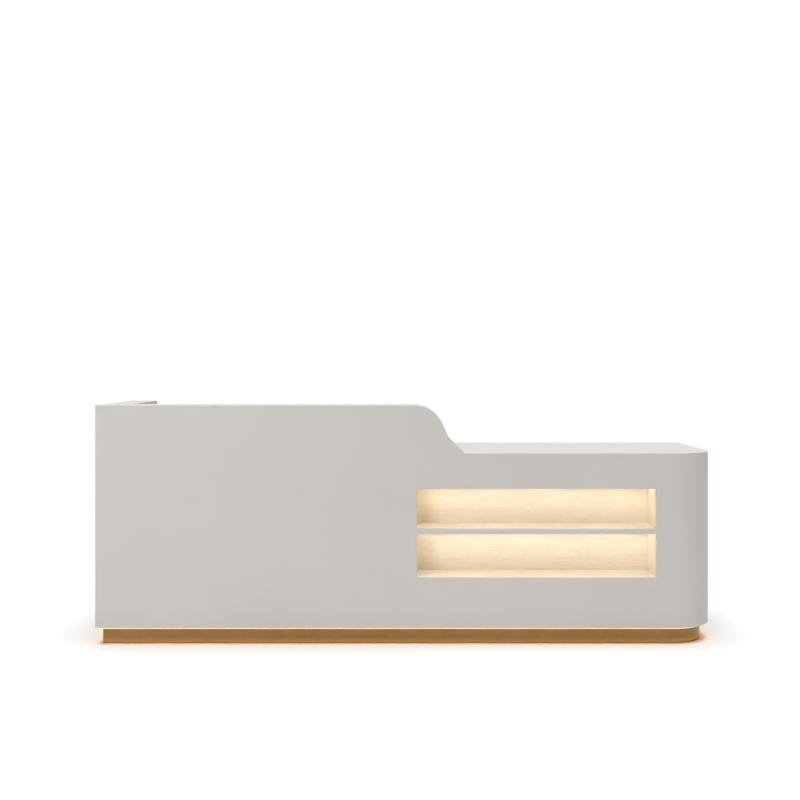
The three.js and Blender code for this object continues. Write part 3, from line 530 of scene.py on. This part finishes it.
def make_diffuser(name, glow, power, span=None, lit_below=None):
    """An opal plastic that glows.

    span: the places along X of its two ends, near which it glows more. lit_below: the height
    under which alone it glows.
    """
    finish = Finish(name, IOR=1.49, Roughness=0.4, Emission_Strength=power)
    turns = finish.axis(0) * (2 * np.pi / LED_PITCH)
    beat = 0.5 + 0.5 * turns.math("COSINE", turns)
    milky = finish.noise(0.004, detail=2)
    lit = finish.blend(beat, tuple(0.88 * c for c in glow), glow)
    if span:
        along = finish.axis(0)
        past_left = along.between(span[0], span[0] + END_BOOST)
        near_right = along.between(span[1] - END_BOOST, span[1])
        lit = finish.blend((1 - MIDDLE_SHARE) * (past_left * (1 - near_right)), lit, (0.0, 0.0, 0.0))
    if lit_below:
        height = finish.axis(2).between(lit_below - 0.0002, lit_below + 0.0002)
        lit = finish.blend(height, lit, (0.0, 0.0, 0.0))
    finish.bump(milky, 0.00002, 0.3)
    opal = finish.blend(milky, (0.8, 0.76, 0.68), (0.86, 0.83, 0.77))
    return finish.feed(Base_Color=opal, Emission_Color=lit)


channel_low, channel_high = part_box("led_diffuser_upper")
niche_diffuser = make_diffuser("opal_diffuser", NICHE_GLOW, NICHE_POWER, (channel_low.x, channel_high.x))
lit_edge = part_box("plinth_light_strip")[0].z + PLINTH_LENS
plinth_diffuser = make_diffuser("plinth_diffuser", PLINTH_GLOW, PLINTH_POWER, lit_below=lit_edge)
print("made", niche_diffuser.name, plinth_diffuser.name)

# %% [markdown]
# ### Painting the nodes
# Each CAD node names a material slot, and gets the finish of that slot. Uprights that are faced
# with maple take the upright cut, and the niche's two floors the one painted lighter, as painted
# light from the strips above.

# %% Paint every node
FINISHES = {
    "lacquer": lacquer,
    "maple": maple,
    "carcass_board": melamine,
    "plain_board": plywood,
    "brass": brass,
    "aluminium": aluminium,
    "steel": steel,
    "opal_diffuser": niche_diffuser,
    "black_plastic": black_plastic,
    "white_plastic": white_plastic,
    "lead_sheath": sheath,
}
UPRIGHT = ("niche_right_side", "cupboard_side", "cupboard_divider")
# The niche's two floors take the maple painted lighter: painted light from the strips above.
PAINTED_LIGHT_FLOORS = ("niche_floor", "niche_shelf")
slots = {part["node"]: part["material_slot"] for part in frame["record"]["subparts"]}


def finish_of(node):
    """The finish of a node: its slot's own, but for some boards and the plinth's light."""
    if node in UPRIGHT:
        return maple_upright
    if node in PAINTED_LIGHT_FLOORS:
        return maple_painted_light
    return plinth_diffuser if node == "plinth_light_strip" else FINISHES[slots[node]]


for name, node in frame["nodes"].items():
    for holder in node.material_slots:
        holder.material = finish_of(name)
floor_paint = Finish("floor_paint")
patches = floor_paint.noise(0.3, detail=3)
paint = floor_paint.blend(patches, (0.76, 0.76, 0.76), (0.77, 0.77, 0.77))
floor.data.materials.append(floor_paint.feed(Base_Color=paint, Roughness=0.9))
print("painted", len(frame["nodes"]))

# %% [markdown]
# ## Pieces from arrays
# A new piece is a grid of points: one row for each step along it, one column for each point of
# its outline. Neighbours in the grid make the faces, and two end faces close it. Points that
# fall together at a pole or a seam are merged, and the faces are turned outwards. Last come the
# normals: an edge that turns sharply stays crisp, and elsewhere the largest face leads, so that
# flat faces shade flat next to a rounded edge.

# %% Make a piece of a mesh
MERGE = 1e-7
CRISP = np.radians(32)


def dress(name, mesh, node, *replaced):
    """Makes mesh a piece that rides with `node`, takes its finish and replaces the named nodes."""
    mesh.shade_smooth()
    mesh.set_sharp_from_angle(angle=CRISP)
    mesh.materials.clear()
    mesh.materials.append(finish_of(node))
    made = bpy.data.objects.new(name, mesh)
    scene.collection.objects.link(made)
    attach(made, frame["nodes"][node]["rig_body"])
    if replaced:
        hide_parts(*replaced)
    return made


def lead_by_area(made):
    """Weighted normals: at each corner the largest face leads."""
    modifier = made.modifiers.new("flat_faces", "WEIGHTED_NORMAL")
    modifier.keep_sharp = True
    return made


def surface(name, grids, node, *replaced, ends=True, loop=False):
    """A piece of one or more grids of points, each closed across its columns.

    Point (i, j) joins (i + 1, j) and (i, j + 1). With `loop` the last row joins the first.
    With `ends` the first and last rows are closed by a face each.
    """
    points, faces, start = [], [], 0
    for grid in grids:
        rows, columns = grid.shape[:2]
        i, j = np.meshgrid(np.arange(rows if loop else rows - 1), np.arange(columns), indexing="ij")
        following, beside = (i + 1) % rows, (j + 1) % columns
        here, there = i * columns, following * columns
        corners = np.stack([here + j, here + beside, there + beside, there + j], -1)
        faces += (start + corners.reshape(-1, 4)).tolist()
        if ends and not loop:
            faces += [list(range(start, start + columns))]
            faces += [list(range(start + (rows - 1) * columns, start + rows * columns))]
        points.append(grid.reshape(-1, 3))
        start += rows * columns
    mesh = bpy.data.meshes.new(name)
    mesh.from_pydata(np.concatenate(points).tolist(), [], faces)
    work = bmesh.new()
    work.from_mesh(mesh)
    bmesh.ops.remove_doubles(work, verts=work.verts, dist=MERGE)
    bmesh.ops.dissolve_degenerate(work, edges=work.edges, dist=MERGE)
    bmesh.ops.recalc_face_normals(work, faces=work.faces)
    work.to_mesh(mesh)
    work.free()
    return lead_by_area(dress(name, mesh, node, *replaced))


print("points merge within", MERGE, "m")


# %% [markdown]
# ## Softened boards
# A lacquered edge is sanded round before it is sprayed, and a veneered one is just eased. Bevel
# does both, on a merged copy of the CAD board. Only convex edges are rounded, and where two
# boards are painted over as one, the edge stays hard and the glue line is closed, so that no
# seam shows on the casing.

# %% Soften a board
PLANE = 1e-4
WELD = 1e-6
FLAT = np.radians(0.3)
EASED = np.radians(25)
BEVEL_STEPS = 3
AXES = "xyz"


def edge_turns(mesh):
    """For each edge: how far its two faces turn, and if they turn outwards."""
    edges = np.empty(len(mesh.loops), int)
    mesh.loops.foreach_get("edge_index", edges)
    sizes = np.empty(len(mesh.polygons), int)
    mesh.polygons.foreach_get("loop_total", sizes)
    normals = np.empty((len(sizes), 3))
    mesh.polygons.foreach_get("normal", normals.ravel())
    centres = np.empty((len(sizes), 3))
    mesh.polygons.foreach_get("center", centres.ravel())
    owner = np.repeat(np.arange(len(sizes)), sizes)
    first, second = owner[np.argsort(edges, kind="stable")].reshape(-1, 2).T
    turn = np.arccos(np.clip(np.sum(normals[first] * normals[second], axis=1), -1, 1))
    outward = np.sum((centres[second] - centres[first]) * normals[first], axis=1) < 0
    return turn, outward


def within(ends, planes):
    """Which edges lie in one of the planes, each given as (axis, value)."""
    places = [(ends[:, :, AXES.index(axis)], value) for axis, value in planes]
    hits = [np.all(np.abs(place - value) < PLANE, axis=1) for place, value in places]
    return np.any(hits, axis=0) if hits else np.zeros(len(ends), bool)


def soften(node, radius, soft=None, hard=(), close=(), cuts=(), lighter=None):
    """A finished copy of a CAD board with rounded edges.

    soft and hard: planes whose edges are rounded, or not. close: (axis, value, shift), faces
    that move to meet their neighbour. cuts: planes that split the faces. lighter: (lowest
    corner, highest corner, share), a box in which edges get only that share of the radius.
    """
    mesh = frame["nodes"][node].data.copy()
    work = bmesh.new()
    work.from_mesh(mesh)
    bmesh.ops.remove_doubles(work, verts=work.verts, dist=WELD)
    bmesh.ops.dissolve_limit(work, angle_limit=FLAT, verts=work.verts, edges=work.edges)
    for axis, value in cuts:
        across = np.eye(3)[AXES.index(axis)]
        whole = work.verts[:] + work.edges[:] + work.faces[:]
        bmesh.ops.bisect_plane(work, geom=whole, plane_co=value * across, plane_no=across)
    work.to_mesh(mesh)
    work.free()
    points = np.empty((len(mesh.vertices), 3))
    mesh.vertices.foreach_get("co", points.ravel())
    pairs = np.empty((len(mesh.edges), 2), int)
    mesh.edges.foreach_get("vertices", pairs.ravel())
    ends = points[pairs]
    turn, outward = edge_turns(mesh)
    chosen = np.ones(len(ends), bool) if soft is None else within(ends, soft)
    chosen &= (turn > EASED) & outward & ~within(ends, hard)
    weight = chosen.astype(float)
    if lighter:
        low, high, share = lighter
        weight[np.all((ends > low) & (ends < high), axis=(1, 2))] *= share
    moved = points.copy()
    for axis, value, shift in close:
        index = AXES.index(axis)
        moved[np.abs(points[:, index] - value) < PLANE, index] += shift
    mesh.vertices.foreach_set("co", moved.ravel())
    mesh.attributes.new("bevel_weight_edge", "FLOAT", "EDGE").data.foreach_set("value", weight)
    made = dress(f"finished_{node}", mesh, node, node)
    if weight.any():
        bevel = made.modifiers.new("rounding", "BEVEL")
        bevel.limit_method = "WEIGHT"
        bevel.width = radius
        bevel.segments = BEVEL_STEPS
    return lead_by_area(made)


print("an edge counts from", round(float(np.degrees(EASED))), "degrees")

# %% [markdown]
# The casing's outer edges are rounded by three millimetres. The niche's openings are crisper.

# %% Soften the casing
SPRAYED = 0.003
GLUE = 0.0003
HALF_GLUE = GLUE / 2
WINDOW_SHARE = 0.4
MARGIN = 0.01

skin_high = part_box("front_skin")[1]
side_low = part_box("right_side_skin")[0]
inner_low, inner_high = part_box("left_inner_skin")
wall_low, wall_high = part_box("wall_inner_skin")
end_low, end_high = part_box("left_end_board")
cap_low, cap_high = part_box("front_ledge_cap")
left_cap_low, left_cap_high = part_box("left_ledge_cap")
top_low, top_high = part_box("worktop")
left_skin_low, left_skin_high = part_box("left_side_skin")
niche_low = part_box("niche_floor")[0]
niche_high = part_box("niche_ceiling")[1]

window_low = (niche_low.x - MARGIN, y_front - MARGIN, niche_low.z)
window_high = (niche_high.x + MARGIN, skin_high.y + MARGIN, niche_high.z)
soften(
    "front_skin",
    SPRAYED,
    soft=[("y", y_front), ("x", x_left)],
    hard=[("x", skin_high.x), ("y", skin_high.y)],
    close=[("y", skin_high.y, HALF_GLUE)],
    lighter=(window_low, window_high, WINDOW_SHARE),
)
soften(
    "left_side_skin",
    SPRAYED,
    soft=[("x", x_left)],
    hard=[("y", left_skin_low.y)],
    close=[("y", left_skin_low.y, -HALF_GLUE), ("x", left_skin_high.x, HALF_GLUE)],
)
soften(
    "right_side_skin",
    SPRAYED,
    soft=[("x", x_right)],
    hard=[("y", side_low.y)],
    close=[("y", side_low.y, -GLUE)],
)
soften(
    "left_end_board",
    SPRAYED,
    soft=[("y", y_rear), ("x", end_high.x)],
    hard=[("x", end_low.x), ("y", end_low.y)],
    close=[("x", end_low.x, -HALF_GLUE), ("y", end_low.y, -HALF_GLUE)],
)
soften(
    "left_inner_skin",
    SPRAYED,
    soft=[("x", inner_high.x)],
    hard=[("y", inner_low.y), ("y", inner_high.y)],
    close=[("y", inner_low.y, -HALF_GLUE), ("y", inner_high.y, HALF_GLUE)],
)
soften(
    "wall_inner_skin",
    SPRAYED,
    soft=[("y", wall_high.y)],
    hard=[("x", wall_low.x)],
    close=[("y", wall_low.y, -HALF_GLUE)],
    cuts=[("x", inner_high.x)],
    lighter=((x_left, -1, 0), (inner_high.x + PLANE, 1, 2), 0.0),
)
soften(
    "front_ledge_cap",
    0,
    soft=[],
    close=[("y", cap_low.y, -HALF_GLUE), ("y", cap_high.y, HALF_GLUE), ("x", cap_low.x, -HALF_GLUE)],
)
soften(
    "left_ledge_cap",
    0,
    soft=[],
    close=[
        ("y", left_cap_low.y, -HALF_GLUE),
        ("y", left_cap_high.y, HALF_GLUE),
        ("x", left_cap_low.x, -HALF_GLUE),
        ("x", left_cap_high.x, HALF_GLUE),
    ],
)
soften(
    "worktop",
    SPRAYED,
    soft=[("y", y_rear)],
    hard=[("x", top_low.x), ("x", top_high.x)],
    close=[("y", top_low.y, -HALF_GLUE), ("x", top_high.x, HALF_GLUE)],
)
print("casing softened by", SPRAYED)

# %% [markdown]
# The other boards are cut square and edged, so they are only eased: a sawn edge by half a
# millimetre, a lacquered front, door or tray by one or two, and metal by less.

# %% Soften everything else that is a board or a block
EASE = {
    0.0012: ("cash_drawer_front", "middle_drawer_front", "bottom_drawer_front", "left_door", "right_door"),
    0.002: ("keyboard_tray",),
    0.0008: (
        "cash_drawer_box",
        "middle_drawer_box",
        "bottom_drawer_box",
        "plinth_frame",
        "switch_body",
        "power_inlet",
        "led_driver",
        "grommet_cap",
    ),
    0.0006: (
        "base_board",
        "pedestal_side",
        "niche_floor",
        "niche_ceiling",
        "niche_right_side",
        "niche_shelf",
        "cupboard_side",
        "cupboard_divider",
        "cupboard_shelf",
        "open_bay_shelf",
        "switch_rocker",
    ),
    0.0004: (
        "niche_back",
        "cupboard_back",
        "tray_rail_left",
        "tray_rail_right",
        "left_door_pivot_top",
        "left_door_pivot_bottom",
        "right_door_pivot_top",
        "right_door_pivot_bottom",
        "lock_cylinder",
        "led_profile_upper",
        "led_profile_lower",
    ),
}
for radius, names in EASE.items():
    for name in names:
        soften(name, radius)
print("eased", sum(len(names) for names in EASE.values()))

# %% [markdown]
# ## The round corner
# A bent board: its section, a tall rectangle with the casing's rounding on its two outer
# corners, is carried round a quarter circle. Two helpers do that here and below: one rounds an
# outline's corners, and one carries an outline along a path.


# %% Round an outline's corners
ARC_STEPS = 4


def rounded(corners, radii, steps=ARC_STEPS):
    """A closed outline whose corners are arcs.

    Each arc starts a tangent length, radius / tan(half the corner's angle), before its corner
    and ends as far after it. Its centre lies on the line that halves the corner.
    """
    corners = np.asarray(corners, float)
    out = []
    neighbours = np.roll(corners, 1, 0), np.roll(corners, -1, 0)
    for corner, before, after, radius in zip(corners, *neighbours, radii):
        if radius == 0:
            out.append(corner[None])
            continue
        u = (before - corner) / np.linalg.norm(before - corner)
        v = (after - corner) / np.linalg.norm(after - corner)
        half = np.arccos(np.clip(u @ v, -1, 1)) / 2
        middle = corner + (u + v) / np.linalg.norm(u + v) * radius / np.sin(half)
        start = corner + u * radius / np.tan(half) - middle
        end = corner + v * radius / np.tan(half) - middle
        t = np.linspace(0, 1, steps + 1)[:, None]
        swing = np.pi - 2 * half
        out.append(middle + (np.sin((1 - t) * swing) * start + np.sin(t * swing) * end) / np.sin(swing))
    return np.concatenate(out)


def carried(outline, path, side, up):
    """Outline point (u, v) lands at path + u * side + v * up, one row for each path point."""
    path, side, up = (np.broadcast_to(array, np.shape(path)) for array in (path, side, up))
    return path[:, None] + outline[None, :, :1] * side[:, None] + outline[None, :, 1:] * up[:, None]


print("each rounded corner takes", ARC_STEPS, "steps")

# %% Bend the corner
CORNER_STEPS = 64
UP = np.array([0.0, 0.0, 1.0])

tangent_y = side_low.y - GLUE
board = skin_high.y - y_front
corner_low, corner_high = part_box("corner_skin")


def quarter(right, front, steps=CORNER_STEPS):
    """A quarter circle from the front to the right: its points and outward sides."""
    radius = tangent_y - front
    turn = np.linspace(-np.pi / 2, 0, steps + 1)
    outward = np.stack([np.cos(turn), np.sin(turn), 0 * turn], 1)
    return np.array([right - radius, tangent_y, 0]) + radius * outward, outward


path, outward = quarter(x_right, y_front)
section = rounded(
    [(0, corner_low.z), (0, corner_high.z), (-board, corner_high.z), (-board, corner_low.z)],
    (SPRAYED, SPRAYED, 0, 0),
)
surface("finished_corner_skin", [carried(section, path, outward, UP)], "corner_skin", "corner_skin")
print("corner radius", round(tangent_y - y_front, 4))

# %% [markdown]
# ## The toe-kick
# Thin brass sheet is folded round the plinth: down the left, along the front, round the corner
# and up the right. Its top and bottom are turned back as hems, which round the edge. A folded
# corner of sheet is a small arc, so the path has one at the front left. The light strip runs the
# same way in front of it, up behind the skins: a flexible tube with a domed lower face.


# %% Fold the brass
FOLD = 0.003
FOLD_STEPS = 6


def round_the_front(left, right, front, rear, fold):
    """The way round three sides of the counter, seen from above, with its outward directions."""
    corner, corner_out = quarter(right, front)
    turn = np.linspace(np.pi, 1.5 * np.pi, FOLD_STEPS + 1)
    fold_out = np.stack([np.cos(turn), np.sin(turn), 0 * turn], 1)
    fold_path = np.array([left + fold, front + fold, 0]) + fold * fold_out
    path = np.concatenate([[[left, rear, 0.0]], fold_path, corner, [[right, rear, 0.0]]])
    outward = np.concatenate([[[-1.0, 0, 0]], fold_out, corner_out, [[1.0, 0, 0]]])
    return path, outward


brass_low, brass_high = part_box("plinth_cladding")
SHEET = 0.002
HEM = 0.45 * SHEET
way, way_out = round_the_front(brass_low.x, brass_high.x, brass_low.y, brass_high.y, FOLD)
section = rounded(
    [(0, brass_low.z), (0, brass_high.z), (-SHEET, brass_high.z), (-SHEET, brass_low.z)], [HEM] * 4
)
sheet = carried(section, way, way_out, UP)
surface("finished_plinth_cladding", [sheet], "plinth_cladding", "plinth_cladding")

strip_low, strip_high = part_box("plinth_light_strip")
STRIP_WIDTH = 0.012
STRIP_DOME = 0.0035
STRIP_EASE = 0.0005
way, way_out = round_the_front(strip_low.x, strip_high.x, strip_low.y, strip_high.y, STRIP_WIDTH)
section = rounded(
    [(0, strip_low.z), (0, strip_high.z), (-STRIP_WIDTH, strip_high.z), (-STRIP_WIDTH, strip_low.z)],
    (STRIP_DOME, STRIP_EASE, STRIP_EASE, STRIP_DOME),
    6,
)
strip = carried(section, way, way_out, UP)
surface("finished_light_strip", [strip], "plinth_light_strip", "plinth_light_strip")
print("brass from", round(brass_low.z, 4), "to", round(brass_high.z, 4))

# %% [markdown]
# ## Niche lights
# The diffuser snaps into its channel. Its lower face bulges down a little, which spreads the
# glow, and its upper face is flat.

# %% Dome the diffusers
DOME_STEPS = 12
DOME_RISE = 0.0006
for bay in ("upper", "lower"):
    low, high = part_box(f"led_diffuser_{bay}")
    across = np.linspace(0, np.pi, DOME_STEPS + 1)
    middle_y, half_y = (low.y + high.y) / 2, (high.y - low.y) / 2
    dome = np.stack([middle_y - half_y * np.cos(across), low.z + DOME_RISE * (1 - np.sin(across))], 1)
    outline = np.concatenate([dome, [(high.y, high.z), (low.y, high.z)]])
    ends = np.array([[low.x, 0, 0], [high.x, 0, 0]])
    grid = carried(outline, ends, np.array([0, 1.0, 0]), UP)
    surface(f"finished_led_diffuser_{bay}", [grid], f"led_diffuser_{bay}", f"led_diffuser_{bay}")
print("diffusers domed")

# %% [markdown]
# ## Screws, caps and pins
# Small turned things are circles whose radius and height follow a profile. A screw head is a
# shallow dome with a cross sunk into it: the sink is deepest along four arms, where the angle's
# fourfold cosine is near one, and fades towards the rim.


# %% Turn a profile
def frame_of(facing):
    """Two directions that are square to `facing` and to each other."""
    facing = np.asarray(facing, float)
    first = np.cross(facing, [0.3, 0.5, 0.81])
    first /= np.linalg.norm(first)
    return first, np.cross(facing, first)


def turned(profile, centre, facing, steps=40):
    """Radius and height pairs turned round `facing`: one row per pair, one column per angle."""
    first, second = frame_of(facing)
    turn = np.linspace(0, 2 * np.pi, steps, endpoint=False)
    ring = np.cos(turn)[:, None] * first + np.sin(turn)[:, None] * second
    radius, height = np.asarray(profile, float).T
    return np.asarray(centre) + radius[:, None, None] * ring + height[:, None, None] * np.asarray(facing)


SCREW = {"radius": 0.0035, "rise": 0.0009, "arm": 0.6, "sink": 0.0009, "seat": 0.0004}


def screw_head(centre, facing, radius=SCREW["radius"]):
    """A cross-head screw. Height = dome(r) - sink * arms(angle) * fade(r / radius)."""
    first, second = frame_of(facing)
    share = np.linspace(0, 1, 9)[:, None]
    turn = np.linspace(0, 2 * np.pi, 48, endpoint=False)[None]
    arms = np.clip((np.cos(4 * turn) - 0.55 * share) * 3, 0, 1)
    fade = np.clip((SCREW["arm"] - share) * 8, 0, 1)
    height = SCREW["rise"] * (1 - share**2) - SCREW["sink"] * arms * fade * (share < SCREW["arm"])
    height[0] = height[0].min()
    ring = np.cos(turn)[..., None] * first + np.sin(turn)[..., None] * second
    top = radius * share[..., None] * ring + height[..., None] * np.asarray(facing)
    under = radius * ring - SCREW["seat"] * np.asarray(facing)
    foot = np.zeros_like(under) - SCREW["seat"] * np.asarray(facing)
    return np.asarray(centre) + np.concatenate([top, under, foot])


print("screw head", SCREW)

# %% [markdown]
# ## Drawer runners
# Each runner is a rolled steel channel: a web screwed to the side of the pedestal and two
# flanges that the drawer's groove rides on, with a small bead at their edges.

# %% Roll the runners
RUNNER_STEEL = 0.0014
RUNNER_FILLET = 0.0003
RUNNER_SCREWS = (0.08, 0.5, 0.92)
runner_screws = []
for drawer in ("cash_drawer", "middle_drawer", "bottom_drawer"):
    for hand, facing in (("left", 1.0), ("right", -1.0)):
        node = f"{drawer}_runner_{hand}"
        low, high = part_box(node)
        wide, tall, t = high.x - low.x, high.z - low.z, RUNNER_STEEL
        below = [(0, 0), (wide, 0), (wide, t), (t, t)]
        above = [(u, tall - v) for u, v in reversed(below)]
        radii = (t, t / 3, t / 3, RUNNER_FILLET)
        outline = rounded(below + above, radii + radii[::-1], 3)
        web = low.x if facing > 0 else high.x
        start = np.array([[web, low.y, low.z], [web, high.y, low.z]])
        grid = carried(outline, start, np.array([facing, 0, 0]), UP)
        surface(f"finished_{node}", [grid], node, node)
        for share in RUNNER_SCREWS:
            place = (web + facing * t, low.y + share * (high.y - low.y), (low.z + high.z) / 2)
            runner_screws.append(screw_head(place, (facing, 0, 0)))
surface("runner_screws", runner_screws, "cash_drawer_runner_left", ends=False)
print("runner screws", len(runner_screws))

# %% [markdown]
# ## Shelf pins and rail screws
# The two loose shelves lie on steel pegs, pushed into the boards beside them: four for each. The
# keyboard tray's rails hang from screws, through their flanges into the worktop.

# %% Set the pins and the screws
PEG = {"radius": 0.0025, "length": 0.009, "tip": 0.0008, "inset": 0.045, "gap": 0.0002}
peg_profile = [
    (0, 0),
    (PEG["radius"], 0),
    (PEG["radius"], PEG["length"] - PEG["tip"]),
    (PEG["radius"] - PEG["tip"], PEG["length"]),
    (0, PEG["length"]),
]
pegs = []
for shelf, left, right in (
    ("cupboard_shelf", "cupboard_side", "cupboard_divider"),
    ("open_bay_shelf", "cupboard_divider", "right_side_skin"),
):
    low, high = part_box(shelf)
    height = low.z - PEG["radius"] - PEG["gap"]
    for wall, facing in ((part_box(left)[1].x, 1), (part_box(right)[0].x, -1)):
        for place in (low.y + PEG["inset"], high.y - PEG["inset"]):
            pegs.append(turned(peg_profile, (wall, place, height), (facing, 0, 0), 24))
surface("shelf_pins", pegs, "tray_rail_left", ends=False)

RAIL_FLANGE = {"steel": 0.002, "middle": 0.013, "ends": (0.12, 0.5, 0.88)}
rail_screws = []
for rail, outward in (("tray_rail_left", -1), ("tray_rail_right", 1)):
    low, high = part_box(rail)
    edge = low.x if outward < 0 else high.x
    for share in RAIL_FLANGE["ends"]:
        place = (
            edge - outward * RAIL_FLANGE["middle"],
            low.y + share * (high.y - low.y),
            high.z - RAIL_FLANGE["steel"],
        )
        rail_screws.append(screw_head(place, (0, 0, -1)))
surface("rail_screws", rail_screws, "tray_rail_left", ends=False)
print("pins", len(pegs), "rail screws", len(rail_screws))

# %% [markdown]
# ## The lock and the cable grommet
# Both are turned. The lock's barrel has a polished flange with a soft edge. The grommet is a
# ring that drops into the worktop, with a seat inside it for the lift-out cap.

# %% Turn the barrel and the ring
barrel_low, barrel_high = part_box("lock_barrel")
barrel_middle = (barrel_low + barrel_high) / 2
BORE, SLEEVE = 0.0063, 0.009
FLANGE_EDGE, BORE_EDGE, SLEEVE_EDGE = 0.0011, 0.0004, 0.0003
front_y, back_y = barrel_high.y, barrel_low.y
face_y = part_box("cash_drawer_front")[1].y
flange = (barrel_high.x - barrel_low.x) / 2
section = rounded(
    [
        (BORE, back_y),
        (SLEEVE, back_y),
        (SLEEVE, face_y + GLUE),
        (flange, face_y + GLUE),
        (flange, front_y),
        (BORE, front_y),
    ],
    (0, SLEEVE_EDGE, 0, 0.0002, FLANGE_EDGE, BORE_EDGE),
)
centre = (barrel_middle.x, 0, barrel_middle.z)
barrel = turned(section, centre, (0, 1, 0), 64)
surface("finished_lock_barrel", [barrel], "lock_barrel", "lock_barrel", loop=True)

ring_low, ring_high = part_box("grommet_ring")
ring_middle = (ring_low + ring_high) / 2
flange = (ring_high.x - ring_low.x) / 2
RING = {"sleeve": 0.03, "wall": 0.003, "lip": 0.0015, "flange": 0.002, "seat": 0.0036}
top, under = ring_high.z, ring_high.z - RING["flange"] + GLUE
inside = RING["sleeve"] - RING["wall"]
section = rounded(
    [
        (inside - RING["lip"], ring_low.z),
        (RING["sleeve"], ring_low.z),
        (RING["sleeve"], under),
        (flange, under),
        (flange, top),
        (inside, top),
        (inside, top + GLUE - RING["seat"]),
        (inside - RING["lip"], top + GLUE - RING["seat"]),
    ],
    (0.0005, 0.0008, 0, 0.0002, 0.0012, 0.0004, 0, 0.0003),
)
centre = (ring_middle.x, ring_middle.y, 0)
ring = turned(section, centre, (0, 0, 1), 96)
surface("finished_grommet_ring", [ring], "grommet_ring", "grommet_ring", loop=True)
print("flange of the ring", round(flange, 4))

# %% [markdown]
# ## Leads
# The leads inside are held all the way. They run straight, behind the niche and along the
# cupboard, and turn through round bends. A bend is a quadratic curve,
# p(t) = (1-t)^2 a + 2t(1-t) b + t^2 c, between the points where it leaves the two straights.


# %% Run the leads
BEND_STEPS = 8
SHARE_OF_RUN = 1 / 2.1


def route(bend, *stops):
    """Straight runs between the stops, with a bend that starts `bend` before each of them."""
    stops = np.asarray(stops, float)
    t = np.linspace(0, 1, BEND_STEPS + 1)[:, None]
    out = [stops[:1]]
    for before, at, after in zip(stops, stops[1:], stops[2:]):
        gaps = np.linalg.norm(before - at), np.linalg.norm(after - at)
        reach = min(bend, gaps[0] * SHARE_OF_RUN, gaps[1] * SHARE_OF_RUN)
        start, end = at + (before - at) * reach / gaps[0], at + (after - at) * reach / gaps[1]
        out.append((1 - t) ** 2 * start + 2 * t * (1 - t) * at + t**2 * end)
    return np.concatenate(out + [stops[-1:]])


def tube(path, radius, steps=16):
    """A round tube along a path. Each ring is square to the path's direction, and its first
    side is the one before it, made square again, so that the tube doesn't twist."""
    along = np.gradient(path, axis=0)
    along /= np.linalg.norm(along, axis=1)[:, None]
    side = np.empty_like(along)
    side[0] = frame_of(along[0])[0]
    for i in range(1, len(along)):
        side[i] = side[i - 1] - (side[i - 1] @ along[i]) * along[i]
        side[i] /= np.linalg.norm(side[i])
    turn = np.linspace(0, 2 * np.pi, steps, endpoint=False)
    circle = radius * np.stack([np.cos(turn), np.sin(turn)], 1)
    return carried(circle, path, side, np.cross(along, side))


LED_LEAD = {"radius": 0.0014, "bend": 0.008, "branch": 0.012}
DIFFUSER, PROFILE_WALL = 0.0015, 0.001
r, bend = LED_LEAD["radius"], LED_LEAD["bend"]
lead_low, lead_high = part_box("led_lead")
feed_x, driver_y, driver_z = lead_high.x - r, lead_high.y - r, lead_high.z - r
strip_y = lead_low.y + r
void_y = (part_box("niche_back")[1].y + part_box("cupboard_back")[0].y) / 2
profile = {bay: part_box(f"led_profile_{bay}") for bay in ("upper", "lower")}
profile_y = (profile["upper"][0].y + profile["upper"][1].y) / 2
feed_z = {bay: (low.z + DIFFUSER + high.z - PROFILE_WALL) / 2 for bay, (low, high) in profile.items()}
base_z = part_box("base_board")[1].z + bend + r
runs = [
    route(
        bend,
        (lead_low.x, driver_y, driver_z),
        (feed_x, driver_y, driver_z),
        (feed_x, void_y, driver_z),
        (feed_x, void_y, feed_z["upper"]),
        (feed_x, profile_y, feed_z["upper"]),
    ),
    route(
        bend,
        (feed_x, void_y, feed_z["upper"] + LED_LEAD["branch"]),
        (feed_x, void_y, feed_z["lower"]),
        (feed_x, profile_y, feed_z["lower"]),
    ),
    route(
        bend,
        (feed_x, void_y, feed_z["lower"] + LED_LEAD["branch"]),
        (feed_x, void_y, base_z),
        (feed_x, strip_y, base_z),
        (feed_x, strip_y, lead_low.z),
    ),
]
surface("finished_led_lead", [tube(run, r) for run in runs], "led_lead", "led_lead")

MAINS_LEAD = {"radius": 0.0025, "bend": 0.028, "low_run": 0.08, "high_run": 0.042}
SWITCH_RIM = 0.004
r, bend = MAINS_LEAD["radius"], MAINS_LEAD["bend"]
mains_low, mains_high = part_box("mains_lead")
inlet_low, inlet_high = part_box("power_inlet")
switch_low, switch_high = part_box("switch_body")
run_x, switch_y = mains_low.x + r, (switch_low.y + switch_high.y) / 2
inlet_y = (inlet_low.y + inlet_high.y) / 2
terminal = switch_low.z + SWITCH_RIM
low_z, high_z = terminal - MAINS_LEAD["low_run"], terminal - MAINS_LEAD["high_run"]
runs = [
    route(
        bend,
        (run_x, inlet_y, mains_low.z),
        (run_x, inlet_y, low_z),
        (run_x, switch_y, low_z),
        (run_x, switch_y, terminal),
    ),
    route(
        bend,
        (run_x, switch_y, terminal),
        (run_x, switch_y, high_z),
        (run_x, driver_y, high_z),
        (run_x, driver_y, driver_z),
        (mains_high.x, driver_y, driver_z),
    ),
]
surface("finished_mains_lead", [tube(run, r) for run in runs], "mains_lead", "mains_lead")
print("leads run through", len(runs) + 3, "runs")
